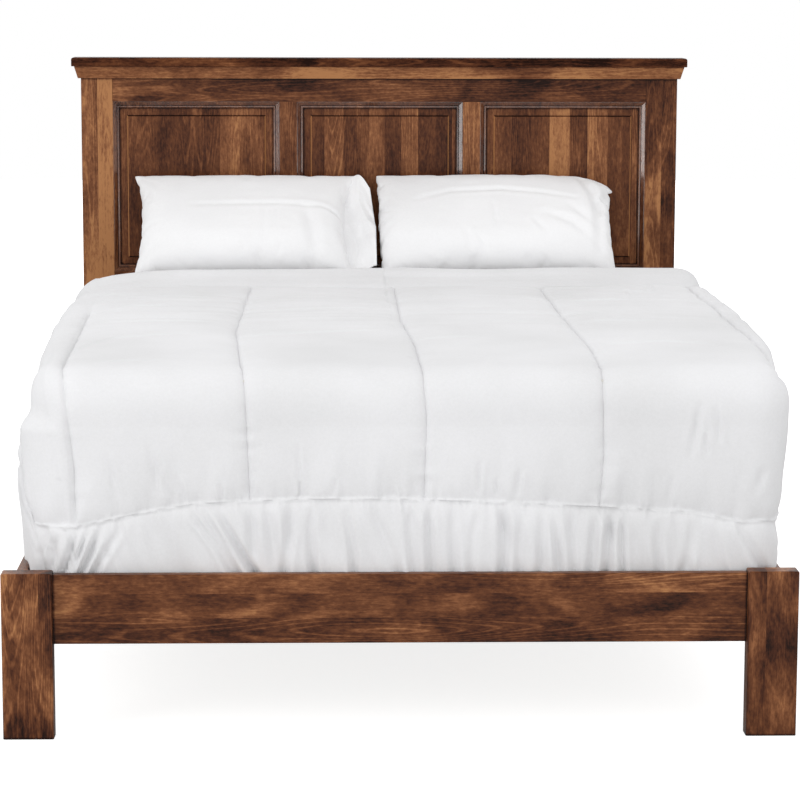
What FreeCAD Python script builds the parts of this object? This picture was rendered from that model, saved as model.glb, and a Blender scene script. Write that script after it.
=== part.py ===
import FreeCAD, Part
import math
import os
import re
import Sketcher

# Panel bed: headboard of three raised panels under a crown, low footboard, two side rails with cleats
# and slats, and its bedding. Frame: +Z up, -Y at the foot, origin on the floor under the middle.

V = FreeCAD.Vector
doc = FreeCAD.newDocument("panel_bed")

# ---------------------------------------------------------------- driving sizes, in millimetres

SIZES = {
    # headboard posts and footboard legs
    "post_width": 87,
    "post_thickness": 45,
    "leg_width": 105,
    "leg_thickness": 45,
    "leg_height": 350,
    "leg_round": 4,
    "board_round": 2,
    # headboard frame
    "frame_thickness": 30,
    "top_rail_height": 97,
    "opening_height": 470,
    "middle_rail_bottom": 652,
    "middle_rail_height": 100,
    "mullion_width": 48.5,
    "lower_rail_bottom": 190,
    "lower_rail_height": 145,
    "tenon_thickness": 12,
    "tenon_length": 30,
    "tenon_shoulder": 18,
    "joint_clearance": 0.25,
    "mortise_end_gap": 2,
    # raised panels in their grooves
    "groove_depth": 10,
    "panel_setback": 13,
    "panel_edge_thickness": 8,
    "panel_side_gap": 2,
    "groove_clearance": 0.3,
    "field_inset": 38,
    "field_rise": 4.5,
    "field_bevel": 3,
    # mitred moulding round each opening
    "moulding_width": 17,
    "moulding_setback": 1,
    "moulding_slope_width": 11,
    "moulding_slope_drop": 6,
    "moulding_bead_width": 4.5,
    "moulding_bead_round": 1.5,
    # crown
    "cap_overhang": 24,
    "cap_thickness": 24,
    "cap_round": 6,
    "cove_height": 33,
    "cove_top_reach": 17,
    "cove_bottom_reach": 7.5,
    # footboard rail
    "foot_rail_height": 146,
    "foot_rail_thickness": 25,
    "foot_rail_drop": 6.5,
    "foot_rail_recess": 20,
    # side rails
    "side_rail_thickness": 25,
    "side_rail_height": 145,
    "side_rail_bottom": 189,
    "side_rail_inset": 21,
    # slats, their cleats and the centre legs
    "cleat_width": 25,
    "cleat_height": 38,
    "cleat_lift": 8,
    "cleat_end_gap": 30,
    "slat_width": 89,
    "slat_thickness": 19,
    "slat_end_gap": 2,
    "slat_first": 105,
    "slat_count": 5,
    "center_leg_side": 45,
    # hook plates on the rail ends, slotted plates in posts and legs
    "plate_height": 110,
    "plate_width": 16,
    "plate_thickness": 3,
    "hook_spacing": 60,
    "hook_thickness": 3,
    "hook_arm_height": 12,
    "hook_drop": 8,
    "hook_tip_length": 5,
    "hook_clearance": 0.4,
    "plate_screw_spacing": 96,
    # screws
    "screw_shank": 4,
    "screw_head": 8,
    "screw_head_height": 3,
    "screw_clearance": 0.1,
    "slat_screw_length": 45,
    "cleat_screw_length": 40,
    "leg_screw_length": 60,
    "plate_screw_length": 25,
    "cleat_screw_count": 6,
    # mattress and box spring
    "bedding_gap": 2,
    "mattress_width": 1524,
    "mattress_length": 2032,
    "mattress_thickness": 254,
    "mattress_side_gap": 17,
    "mattress_head_gap": 10,
    "mattress_foot_gap": 48,
    "mattress_corner": 60,
    "mattress_round": 25,
    "box_spring_thickness": 229,
    "box_spring_corner": 45,
    "box_spring_round": 10,
    # comforter
    "comforter_clearance": 3,
    "comforter_thickness": 28,
    "comforter_bulge": 9,
    "comforter_head_gap": 355,
    "comforter_corner": 75,
    "crest_radius": 75,
    "head_draw_in": 10,
    "seam_edge_gap": 23,
    "channel_crown": 7,
    "seam_shift": 55,
    "left_drop": 301,
    "right_hem_gap": 12,
    "foot_seam_drop": 244,
    "foot_tuck_depth": 34,
    "foot_tuck_gap": 4,
    "foot_fold_count": 9,
    "foot_fold_depth": 9,
    "foot_drop_left_gap": 34,
    "foot_drop_right_gap": 9,
    # pillows
    "pillow_width": 655,
    "pillow_height": 420,
    "pillow_thickness": 185,
    "pillow_edge": 14,
    "pillow_lean_degrees": 40,
    "pillow_back_gap": 28,
    "pillow_gap": 13,
    "pillow_shift": -18,
}

sheet = doc.addObject("Spreadsheet::Sheet", "Sizes")
for row, (alias, value) in enumerate(SIZES.items(), start=1):
    sheet.set(f"A{row}", alias)
    sheet.set(f"B{row}", str(value))
    sheet.setAlias(f"B{row}", alias)
doc.recompute()

# places and lengths worked out from the sizes
DERIVED = {
    "bed_width": "mattress_width + 2 * (mattress_side_gap + side_rail_thickness + side_rail_inset)",
    "half_width": "bed_width / 2",
    "rail_length": "mattress_length + mattress_head_gap + mattress_foot_gap",
    "leg_front": "-(leg_thickness + rail_length + post_thickness) / 2",
    "leg_back": "leg_front + leg_thickness",
    "leg_inner": "half_width - leg_width",
    "post_front": "leg_back + rail_length",
    "post_inner": "half_width - post_width",
    "opening_bottom": "middle_rail_bottom + middle_rail_height",
    "top_rail_bottom": "opening_bottom + opening_height",
    "post_height": "top_rail_bottom + top_rail_height",
    "opening_width": "(2 * post_inner - 2 * mullion_width) / 3",
    "groove_width": "panel_edge_thickness + 2 * groove_clearance",
    "groove_front": "panel_setback - groove_clearance",
    "panel_tongue": "groove_depth - panel_side_gap",
    "tenon_front": "(frame_thickness - tenon_thickness) / 2",
    "foot_rail_bottom": "leg_height - foot_rail_drop - foot_rail_height",
    "foot_rail_back": "leg_front + foot_rail_recess + foot_rail_thickness",
    "foot_tenon_inset": "(foot_rail_thickness - tenon_thickness) / 2",
    "side_rail_outer": "half_width - side_rail_inset",
    "side_rail_inner": "side_rail_outer - side_rail_thickness",
    "side_rail_top": "side_rail_bottom + side_rail_height",
    "plate_seat_bottom": "(side_rail_height - plate_height) / 2",
    "plate_bottom": "side_rail_bottom + plate_seat_bottom",
    "plate_middle": "side_rail_inner + side_rail_thickness / 2",
    "hook_reach": "plate_thickness + hook_clearance + hook_tip_length",
    "cleat_length": "rail_length - 2 * cleat_end_gap",
    "cleat_top": "side_rail_bottom + cleat_lift + cleat_height",
    "slat_top": "cleat_top + slat_thickness",
    "slat_length": "2 * (side_rail_inner - slat_end_gap)",
    "slat_pitch": "(rail_length - 2 * slat_first) / (slat_count - 1)",
    "box_spring_bottom": "slat_top + bedding_gap",
    "mattress_bottom": "box_spring_bottom + box_spring_thickness + bedding_gap",
    "mattress_top": "mattress_bottom + mattress_thickness",
    "mattress_foot": "post_front - mattress_head_gap - mattress_length",
    "comforter_inner": "mattress_width / 2 + comforter_clearance",
    "channel_width": "(comforter_inner + comforter_thickness - comforter_corner - seam_edge_gap + seam_shift) / 2",
    "comforter_top": "mattress_top + comforter_clearance + comforter_thickness",
    "comforter_foot": "foot_rail_back + foot_tuck_gap + foot_fold_depth",
    "comforter_head": "post_front - comforter_head_gap",
    "left_hem": "mattress_top - left_drop",
    "right_hem": "side_rail_top + right_hem_gap",
    "foot_hem": "leg_height - foot_rail_drop - foot_tuck_depth",
    "foot_seam": "mattress_top - foot_seam_drop",
    "pillow_left_middle": "pillow_shift - (pillow_width + pillow_gap) / 2",
    "pillow_right_middle": "pillow_shift + (pillow_width + pillow_gap) / 2",
}


def expression(text):
    """Put the name of its sheet or set in front of every size that the text uses."""
    def named(word):
        if word[0] in SIZES:
            return f"Sizes.{word[0]}"
        return f"Derived.{word[0]}" if word[0] in DERIVED else word[0]
    return re.sub(r"[a-z_]{3,}", named, text)


def bind(thing, prop, text):
    thing.setExpression(prop, expression(text))


derived = doc.addObject("App::VarSet", "Derived")
for alias, text in DERIVED.items():
    derived.addProperty("App::PropertyFloat", alias, "Derived")
    bind(derived, alias, text)
doc.recompute()


def place(thing, x="0", y="0", z="0", base="Placement.Base"):
    for axis, text in zip("xyz", (x, y, z)):
        bind(thing, f"{base}.{axis}", text)


# ---------------------------------------------------------------- helpers for the solids

def new_body(label, x="0", y="0", z="0"):
    body = doc.addObject("PartDesign::Body", label)
    body.Label = label
    place(body, x, y, z)
    return body


def polygon(body, name, role, points, offset="0"):
    """Closed sketch on an origin plane of the body; each point is a pair of expressions."""
    sketch = body.newObject("Sketcher::SketchObject", name)
    plane = next(item for item in body.Origin.OriginFeatures if item.Role == role)
    sketch.AttachmentSupport = [(plane, "")]
    sketch.MapMode = "FlatFace"
    bind(sketch, "AttachmentOffset.Base.z", offset)
    count = len(points)
    turns = [2 * math.pi * index / count for index in range(count)]
    start = [V(10 * math.cos(turn), 10 * math.sin(turn), 0) for turn in turns]
    for index in range(count):
        sketch.addGeometry(Part.LineSegment(start[index], start[(index + 1) % count]))
    for index in range(count):
        sketch.addConstraint(Sketcher.Constraint("Coincident", index, 2, (index + 1) % count, 1))
    for index, (across, along) in enumerate(points):
        for kind, aligned, text in (("DistanceX", "Vertical", across), ("DistanceY", "Horizontal", along)):
            if text == "0":
                sketch.addConstraint(Sketcher.Constraint(aligned, -1, 1, index, 1))
                continue
            number = sketch.addConstraint(Sketcher.Constraint(kind, -1, 1, index, 1, 10.0))
            bind(sketch, f"Constraints[{number}]", text)
    return sketch


def rectangle(body, name, role, width, height, offset="0"):
    return polygon(body, name, role, [("0", "0"), (width, "0"), (width, height), ("0", height)], offset)


def pad(body, sketch, length, reverse=False):
    feature = body.newObject("PartDesign::Pad", f"{sketch.Name}_pad")
    feature.Profile = sketch
    feature.Reversed = reverse
    bind(feature, "Length", length)
    sketch.Visibility = False
    return feature


def board(label, corner, size):
    """Plain board: its section on the floor plane of its own body, padded upwards."""
    body = new_body(label, *corner)
    pad(body, rectangle(body, f"{label}_section", "XY_Plane", size[0], size[1]), size[2])
    doc.recompute()
    return body


def add_box(body, name, corner, size, kind="Additive"):
    box = body.newObject(f"PartDesign::{kind}Box", name)
    for prop, text in zip(("Length", "Width", "Height"), size):
        bind(box, prop, text)
    place(box, *corner)
    doc.recompute()
    return box


def cut_box(body, name, corner, size):
    return add_box(body, name, corner, size, "Subtractive")


def edges_along(shape, axes, keep=lambda middle: True):
    """Names of the straight edges that run along the given axes and pass the test."""
    names = []
    for number, edge in enumerate(shape.Edges, start=1):
        run = edge.Vertexes[-1].Point.sub(edge.Vertexes[0].Point)
        if run.Length < 1e-6 or edge.Curve.TypeId != "Part::GeomLine":
            continue
        run.normalize()
        if any(abs(run.dot(axis)) > 0.999 for axis in axes) and keep(edge.CenterOfMass):
            names.append(f"Edge{number}")
    return names


def round_edges(body, radius, axes, keep=lambda middle: True):
    doc.recompute()
    tip = body.Tip
    fillet = body.newObject("PartDesign::Fillet", f"{body.Label}_round_{len(body.Group)}")
    fillet.Base = (tip, edges_along(tip.Shape, axes, keep))
    bind(fillet, "Radius", radius)
    doc.recompute()
    return fillet


X, Y, Z = V(1, 0, 0), V(0, 1, 0), V(0, 0, 1)
# an edge counts as lying in a face of a board when it is nearer to it than this
NEAR = 1
parts = []


def keep_part(thing):
    """Count a finished piece, whose Label names its file."""
    parts.append(thing)
    return thing


def mirrored(source, label):
    """The right-hand twin of a left-hand piece, about the middle of the bed."""
    twin = doc.addObject("Part::Mirroring", label)
    twin.Label = label
    twin.Source = source
    twin.Normal = X
    return keep_part(twin)


def group(label, members):
    compound = doc.addObject("Part::Compound", label)
    compound.Label = label
    compound.Links = members
    return keep_part(compound)


# ---------------------------------------------------------------- screws and their holes

TURNS = {
    "-Z": FreeCAD.Rotation(),
    "+X": FreeCAD.Rotation(Y, -90),
    "-X": FreeCAD.Rotation(Y, 90),
    "+Y": FreeCAD.Rotation(X, 90),
    "-Y": FreeCAD.Rotation(X, -90),
}


def screw(name, length, heading, x, y, z):
    """Countersunk wood screw: the middle of its head's face is at x, y, z and it points along heading."""
    head = doc.addObject("Part::Cone", f"{name}_head")
    bind(head, "Radius1", "screw_shank / 2")
    bind(head, "Radius2", "screw_head / 2")
    bind(head, "Height", "screw_head_height")
    place(head, z="-screw_head_height")
    shank = doc.addObject("Part::Cylinder", f"{name}_shank")
    bind(shank, "Radius", "screw_shank / 2")
    bind(shank, "Height", f"{length} - screw_head_height")
    place(shank, z=f"-{length}")
    whole = doc.addObject("Part::Fuse", name)
    whole.Base = head
    whole.Tool = shank
    whole.Placement.Rotation = TURNS[heading]
    place(whole, x, y, z)
    return whole


def screw_hole(body, name, length, heading, x, y, z, countersunk=True):
    """Hole that clears such a screw, in the coordinates of the body."""
    hole = body.newObject("PartDesign::SubtractiveCylinder", f"{name}_hole")
    bind(hole, "Radius", "screw_shank / 2 + screw_clearance")
    bind(hole, "Height", length)
    turn = TURNS[heading]
    hole.Placement.Rotation = turn
    step = turn.multVec(V(0, 0, -1))
    place(hole, *[f"{text} + {round(way)} * ({length})" for text, way in zip((x, y, z), step)])
    if countersunk:
        sink = body.newObject("PartDesign::SubtractiveCone", f"{name}_sink")
        bind(sink, "Radius1", "screw_shank / 2 + screw_clearance")
        bind(sink, "Radius2", "screw_head / 2 + screw_clearance")
        bind(sink, "Height", "screw_head_height")
        sink.Placement.Rotation = turn
        place(sink, *[f"{text} + {round(way)} * screw_head_height" for text, way in zip((x, y, z), step)])
    doc.recompute()


# ---------------------------------------------------------------- headboard frame

def mortise(body, name, x, rail_bottom, rail_height, tenon_front, depth="tenon_length"):
    """Pocket for a rail's tenon, open towards +X at x + depth."""
    cut_box(body, name,
            (x, f"{tenon_front} - joint_clearance",
             f"{rail_bottom} + tenon_shoulder - joint_clearance"),
            (f"{depth} + mortise_end_gap", "tenon_thickness + 2 * joint_clearance",
             f"{rail_height} - 2 * tenon_shoulder + 2 * joint_clearance"))


def headboard_post():
    """Left post: three mortises, a groove for the outer panel and a seat for the rail's slotted plate."""
    body = board("headboard_post_left", ("-half_width", "post_front", "0"),
                 ("post_width", "post_thickness", "post_height"))
    round_edges(body, "board_round", [Z])
    pocket = "post_width - tenon_length - mortise_end_gap"
    mortise(body, "top_rail_mortise", pocket, "top_rail_bottom", "top_rail_height", "tenon_front")
    mortise(body, "middle_rail_mortise", pocket, "middle_rail_bottom", "middle_rail_height", "tenon_front")
    mortise(body, "lower_rail_mortise", pocket, "lower_rail_bottom", "lower_rail_height", "tenon_front")
    cut_box(body, "post_panel_groove",
            ("post_width - groove_depth", "groove_front", "opening_bottom - groove_depth"),
            ("groove_depth", "groove_width", "opening_height + 2 * groove_depth"))
    return body


def headboard_rail(label, bottom, height, groove=None):
    """Rail between the posts with a tenon at each end and, where it meets panels, a groove."""
    span = "(2 * post_inner)"
    body = board(label, ("-post_inner", "post_front", bottom), (span, "frame_thickness", height))
    tenon_size = ("tenon_length", "tenon_thickness", f"{height} - 2 * tenon_shoulder")
    add_box(body, f"{label}_tenon_left", ("-tenon_length", "tenon_front", "tenon_shoulder"), tenon_size)
    add_box(body, f"{label}_tenon_right", (span, "tenon_front", "tenon_shoulder"), tenon_size)
    if groove is not None:
        cut_box(body, f"{label}_groove", ("0", "groove_front", groove),
                (span, "groove_width", "groove_depth"))
    return keep_part(body)


def mullion():
    """Left mullion: stub tenons that fill the rails' grooves, and a groove along each side."""
    body = board("mullion_left", ("-post_inner + opening_width", "post_front", "opening_bottom"),
                 ("mullion_width", "frame_thickness", "opening_height"))
    stub = ("mullion_width - 2 * groove_depth", "panel_edge_thickness", "panel_tongue")
    add_box(body, "mullion_stub_bottom", ("groove_depth", "panel_setback", "-panel_tongue"), stub)
    add_box(body, "mullion_stub_top", ("groove_depth", "panel_setback", "opening_height"), stub)
    for name, across in (("outer", "0"), ("inner", "mullion_width - groove_depth")):
        cut_box(body, f"mullion_groove_{name}", (across, "groove_front", "0"),
                ("groove_depth", "groove_width", "opening_height"))
    return keep_part(body)


post = keep_part(headboard_post())
headboard_rail("headboard_top_rail", "top_rail_bottom", "top_rail_height", groove="0")
headboard_rail("headboard_middle_rail", "middle_rail_bottom", "middle_rail_height",
               groove="middle_rail_height - groove_depth")
headboard_rail("headboard_lower_rail", "lower_rail_bottom", "lower_rail_height")
mirrored(mullion(), "mullion_right")

# ---------------------------------------------------------------- raised panels and their mouldings

OPENINGS = {
    "left": "(-post_inner)",
    "center": "(-opening_width / 2)",
    "right": "(post_inner - opening_width)",
}


def raised_panel(label, opening_left):
    """Panel that floats in its grooves and stands on the groove of the middle rail."""
    body = new_body(label, opening_left, "post_front + panel_setback", "opening_bottom")
    add_box(body, f"{label}_plate", ("-panel_tongue", "0", "-groove_depth"),
            ("opening_width + 2 * panel_tongue", "panel_edge_thickness",
             "opening_height + groove_depth + panel_tongue"))
    low = "field_inset"
    right = "opening_width - field_inset"
    top = "opening_height - field_inset"
    foot = polygon(body, f"{label}_field_foot", "XZ_Plane",
                   [(low, low), (right, low), (right, top), (low, top)])
    face = polygon(body, f"{label}_field_face", "XZ_Plane",
                   [(f"{low} + field_bevel", f"{low} + field_bevel"),
                    (f"{right} - field_bevel", f"{low} + field_bevel"),
                    (f"{right} - field_bevel", f"{top} - field_bevel"),
                    (f"{low} + field_bevel", f"{top} - field_bevel")], offset="field_rise")
    field = body.newObject("PartDesign::AdditiveLoft", f"{label}_field")
    field.Profile = foot
    field.Sections = [face]
    field.Ruled = True
    doc.recompute()
    return keep_part(body)


# moulding section: across from the opening's edge, and depth behind the frame's face
SLOPE_FOOT = ("moulding_slope_width", "moulding_setback + moulding_slope_drop")
BEAD_TOP = "moulding_setback + moulding_slope_drop - moulding_bead_round"
MOULDING_SECTION = [
    ("0", "moulding_setback"),
    ("moulding_width - moulding_slope_width - moulding_bead_width", "moulding_setback"),
    SLOPE_FOOT,
    ("moulding_slope_width + moulding_bead_round / 2", BEAD_TOP),
    ("moulding_width - moulding_bead_round", BEAD_TOP),
    ("moulding_width", "moulding_setback + moulding_slope_drop"),
    ("moulding_width", "panel_setback - groove_clearance"),
    ("0", "panel_setback - groove_clearance"),
]


def moulding_strip(name, side, opening_left):
    """One mitred strip of the moulding, on the given side of the opening."""
    upright = side in ("left", "right")
    length = "opening_height" if upright else "opening_width"
    body = new_body(name, opening_left, "post_front", "opening_bottom")
    if upright:
        across = {"left": "{0}", "right": "opening_width - ({0})"}[side]
        section = [(across.format(a), d) for a, d in MOULDING_SECTION]
        pad(body, polygon(body, f"{name}_section", "XY_Plane", section), length)
    else:
        across = {"bottom": "{0}", "top": "opening_height - ({0})"}[side]
        section = [(d, across.format(a)) for a, d in MOULDING_SECTION]
        pad(body, polygon(body, f"{name}_section", "YZ_Plane", section), length)
    doc.recompute()
    far_x, far_z, reach = "opening_width", "opening_height", "moulding_width"
    back_x, back_z = f"{far_x} - {reach}", f"{far_z} - {reach}"
    corners = {
        "left": [[("0", "0"), (reach, "0"), (reach, reach)],
                 [("0", far_z), (reach, far_z), (reach, back_z)]],
        "right": [[(far_x, "0"), (back_x, "0"), (back_x, reach)],
                  [(far_x, far_z), (back_x, far_z), (back_x, back_z)]],
        "bottom": [[("0", "0"), ("0", reach), (reach, reach)],
                   [(far_x, "0"), (far_x, reach), (back_x, reach)]],
        "top": [[("0", far_z), ("0", back_z), (reach, back_z)],
                [(far_x, far_z), (far_x, back_z), (back_x, back_z)]],
    }[side]
    for number, corner in enumerate(corners):
        mitre = body.newObject("PartDesign::Pocket", f"{name}_mitre_{number}")
        mitre.Profile = polygon(body, f"{name}_mitre_sketch_{number}", "XZ_Plane", corner)
        mitre.Type = "ThroughAll"
        mitre.Midplane = True
        doc.recompute()
    return body


for place_name, opening_left in OPENINGS.items():
    raised_panel(f"raised_panel_{place_name}", opening_left)
    strips = [moulding_strip(f"moulding_{place_name}_{side}", side, opening_left)
              for side in ("left", "right", "bottom", "top")]
    group(f"panel_moulding_{place_name}", strips)

# ---------------------------------------------------------------- crown

def crown_cap():
    body = board("crown_cap", ("-half_width - cap_overhang", "post_front - cap_overhang", "post_height"),
                 ("bed_width + 2 * cap_overhang", "post_thickness + cap_overhang", "cap_thickness"))
    top = body.Tip.Shape.BoundBox.ZMax
    back = body.Tip.Shape.BoundBox.YMax
    round_edges(body, "cap_round", [X, Y], lambda middle: middle.z > top - NEAR and middle.y < back - NEAR)
    round_edges(body, "board_round", [X, Y], lambda middle: middle.z < NEAR and middle.y < back - NEAR)
    return keep_part(body)


def crown_cove_front():
    """Sloping strip across the posts and the top rail, mitred at both ends."""
    span = "(bed_width + 2 * cove_top_reach)"
    body = new_body("crown_cove_front", f"-{span} / 2", "post_front", "post_height - cove_height")
    section = polygon(body, "cove_front_section", "YZ_Plane",
                      [("0", "0"), ("-cove_bottom_reach", "0"), ("-cove_top_reach", "cove_height"),
                       ("0", "cove_height")])
    pad(body, section, span)
    reach = "cove_top_reach"
    for number, corner in enumerate(([("0", "0"), ("0", f"-{reach}"), (reach, "0")],
                                     [(span, "0"), (span, f"-{reach}"), (f"{span} - {reach}", "0")])):
        mitre = body.newObject("PartDesign::Pocket", f"cove_front_mitre_{number}")
        mitre.Profile = polygon(body, f"cove_front_mitre_sketch_{number}", "XY_Plane", corner)
        mitre.Type = "ThroughAll"
        mitre.Midplane = True
        doc.recompute()
    return keep_part(body)


def crown_cove_left():
    """Short return of the same strip along the outside of the left post."""
    length = "(post_thickness + cove_top_reach)"
    body = new_body("crown_cove_left", "-half_width", "post_front - cove_top_reach",
                    "post_height - cove_height")
    section = polygon(body, "cove_left_section", "XZ_Plane",
                      [("0", "0"), ("-cove_bottom_reach", "0"), ("-cove_top_reach", "cove_height"),
                       ("0", "cove_height")])
    pad(body, section, length, reverse=True)
    mitre = body.newObject("PartDesign::Pocket", "cove_left_mitre")
    mitre.Profile = polygon(body, "cove_left_mitre_sketch", "XY_Plane",
                            [("0", "0"), ("-cove_top_reach", "0"), ("0", "cove_top_reach")])
    mitre.Type = "ThroughAll"
    mitre.Midplane = True
    doc.recompute()
    return keep_part(body)


crown_cap()
crown_cove_front()
mirrored(crown_cove_left(), "crown_cove_right")

# ---------------------------------------------------------------- footboard

def footboard_leg():
    """Left block leg: a mortise for the foot rail, and a seat for the slotted plate in its back."""
    body = board("footboard_leg_left", ("-half_width", "leg_front", "0"),
                 ("leg_width", "leg_thickness", "leg_height"))
    round_edges(body, "leg_round", [X, Y, Z], lambda middle: middle.z > NEAR)
    mortise(body, "foot_rail_mortise", "leg_width - tenon_length - mortise_end_gap",
            "foot_rail_bottom", "foot_rail_height", "(foot_rail_recess + foot_tenon_inset)")
    return keep_part(body)


def foot_rail():
    span = "(2 * leg_inner)"
    body = board("foot_rail", ("-leg_inner", "leg_front + foot_rail_recess", "foot_rail_bottom"),
                 (span, "foot_rail_thickness", "foot_rail_height"))
    round_edges(body, "leg_round", [X], lambda middle: middle.z > NEAR)
    round_edges(body, "board_round", [X], lambda middle: middle.z < NEAR)
    tenon = ("tenon_length", "tenon_thickness", "foot_rail_height - 2 * tenon_shoulder")
    add_box(body, "foot_tenon_left", ("-tenon_length", "foot_tenon_inset", "tenon_shoulder"), tenon)
    add_box(body, "foot_tenon_right", (span, "foot_tenon_inset", "tenon_shoulder"), tenon)
    return keep_part(body)


leg = footboard_leg()
foot_rail()

# ---------------------------------------------------------------- side rails, plates and hooks

HOOK_MIDDLES = ["(plate_height / 2 - hook_spacing / 2)", "(plate_height / 2 + hook_spacing / 2)"]
PLATE_SCREWS = [f"(plate_height / 2 {side} plate_screw_spacing / 2)" for side in "-+"]


def side_rail():
    """Left side rail with a seat for a hook plate in each end and pilot holes for the cleat's screws."""
    body = board("side_rail_left", ("-side_rail_outer", "leg_back", "side_rail_bottom"),
                 ("side_rail_thickness", "rail_length", "side_rail_height"))
    round_edges(body, "board_round", [Y])
    across = "(side_rail_thickness - plate_width) / 2"
    seat = ("plate_width", "plate_thickness", "plate_height")
    cut_box(body, "rail_seat_foot", (across, "0", "plate_seat_bottom"), seat)
    cut_box(body, "rail_seat_head", (across, "rail_length - plate_thickness", "plate_seat_bottom"), seat)
    for number, height in enumerate(PLATE_SCREWS):
        at = ("side_rail_thickness / 2", f"plate_seat_bottom + {height}")
        screw_hole(body, f"rail_foot_{number}", "plate_screw_length", "+Y", at[0], "0", at[1], False)
        screw_hole(body, f"rail_head_{number}", "plate_screw_length", "-Y", at[0], "rail_length", at[1],
                   False)
    for number in range(SIZES["cleat_screw_count"]):
        screw_hole(body, f"rail_cleat_{number}", "cleat_screw_length - cleat_width", "-X",
                   "side_rail_thickness", f"cleat_end_gap + {cleat_screw_place(number)}", "cleat_lift + cleat_height / 2", False)
    return keep_part(body)


def cleat_screw_place(number):
    """Distance of a cleat screw from the cleat's foot end; screws stand clear of the slats' screws."""
    return f"(cleat_length * ({number} + 0.5) / cleat_screw_count)"


def hook_plate(end):
    """Plate let into one end of the left rail, with two hooks that reach through the slotted plate."""
    at_foot = end == "foot"
    y = "leg_back" if at_foot else "post_front"
    body = new_body(f"hook_plate_{end}_left", "-plate_middle", y, "plate_bottom")
    outward = "-1" if at_foot else "1"
    add_box(body, f"hook_plate_{end}_flat", ("-plate_width / 2", "0" if at_foot else "-plate_thickness", "0"),
            ("plate_width", "plate_thickness", "plate_height"))
    for number, middle in enumerate(HOOK_MIDDLES):
        inner = f"{outward} * (plate_thickness + hook_clearance)"
        outer = f"{outward} * hook_reach"
        hook = polygon(body, f"hook_{end}_{number}", "YZ_Plane",
                       [("0", middle), (inner, middle), (inner, f"{middle} - hook_drop"),
                        (outer, f"{middle} - hook_drop"), (outer, f"{middle} + hook_arm_height"),
                        ("0", f"{middle} + hook_arm_height")], offset="-hook_thickness / 2")
        pad(body, hook, "hook_thickness")
        doc.recompute()
    heading = "+Y" if at_foot else "-Y"
    for number, height in enumerate(PLATE_SCREWS):
        screw_hole(body, f"hook_plate_{end}_{number}", "plate_thickness", heading, "0", "0", height)
    return body


def slot_plate(end):
    """Plate let into the leg or post, with a slot for each hook."""
    at_foot = end == "foot"
    y = "leg_back" if at_foot else "post_front"
    body = new_body(f"slot_plate_{end}_left", "-plate_middle", y, "plate_bottom")
    depth = "-plate_thickness" if at_foot else "0"
    add_box(body, f"slot_plate_{end}_flat", ("-plate_width / 2", depth, "0"),
            ("plate_width", "plate_thickness", "plate_height"))
    for number, middle in enumerate(HOOK_MIDDLES):
        cut_box(body, f"slot_{end}_{number}", ("-hook_thickness / 2 - hook_clearance", depth, middle),
                ("hook_thickness + 2 * hook_clearance", "plate_thickness",
                 "hook_arm_height + hook_drop + hook_clearance"))
    heading = "-Y" if at_foot else "+Y"
    for number, height in enumerate(PLATE_SCREWS):
        screw_hole(body, f"slot_plate_{end}_{number}", "plate_thickness", heading, "0", "0", height)
    return body


def seat_for_slot_plate(body, end, x, y, z):
    """Seat for the slotted plate and room for the hooks behind it, in the post's or leg's coordinates."""
    at_foot = end == "foot"
    depth = f"{y} - plate_thickness" if at_foot else y
    cut_box(body, f"seat_{end}", (f"{x} - plate_width / 2", depth, z),
            ("plate_width", "plate_thickness", "plate_height"))
    room = "(hook_reach + hook_clearance)"
    back = f"{y} - {room}" if at_foot else y
    for number, middle in enumerate(HOOK_MIDDLES):
        cut_box(body, f"hook_room_{end}_{number}",
                (f"{x} - hook_thickness / 2 - hook_clearance", back,
                 f"{z} + {middle} - hook_drop - hook_clearance"),
                ("hook_thickness + 2 * hook_clearance", room,
                 "hook_arm_height + 2 * hook_drop + 2 * hook_clearance"))
    heading = "-Y" if at_foot else "+Y"
    for number, height in enumerate(PLATE_SCREWS):
        screw_hole(body, f"seat_{end}_{number}", "plate_screw_length", heading, x, y, f"{z} + {height}", False)


seat_for_slot_plate(leg, "foot", "half_width - plate_middle", "leg_thickness", "plate_bottom")
seat_for_slot_plate(post, "head", "half_width - plate_middle", "0", "plate_bottom")
mirrored(leg, "footboard_leg_right")
mirrored(post, "headboard_post_right")
mirrored(side_rail(), "side_rail_right")


def both_sides(members):
    """The members and their mirror images."""
    twins = []
    for member in members:
        twin = doc.addObject("Part::Mirroring", f"{member.Name}_twin")
        twin.Source = member
        twin.Normal = X
        twins.append(twin)
    return members + twins


plate_screws = []
for number, height in enumerate(PLATE_SCREWS):
    for end, y, rail_way, post_way in (("foot", "leg_back", "+Y", "-Y"), ("head", "post_front", "-Y", "+Y")):
        z = f"plate_bottom + {height}"
        plate_screws.append(screw(f"hook_plate_screw_{end}_{number}", "plate_screw_length", rail_way,
                                  "-plate_middle", y, z))
        plate_screws.append(screw(f"slot_plate_screw_{end}_{number}", "plate_screw_length", post_way,
                                  "-plate_middle", y, z))
group("rail_hook_plates", both_sides([hook_plate("foot"), hook_plate("head")]))
group("post_slot_plates", both_sides([slot_plate("foot"), slot_plate("head")]))
group("bracket_screws", both_sides(plate_screws))

# ---------------------------------------------------------------- cleats, slats and centre legs

SLATS = range(SIZES["slat_count"])
LEGGED_SLATS = {2: "center_leg_front", 3: "center_leg_back"}


def slat_middle(number):
    """Distance of a slat's middle from the leg's back."""
    return f"(slat_first + {number} * slat_pitch)"


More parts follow.
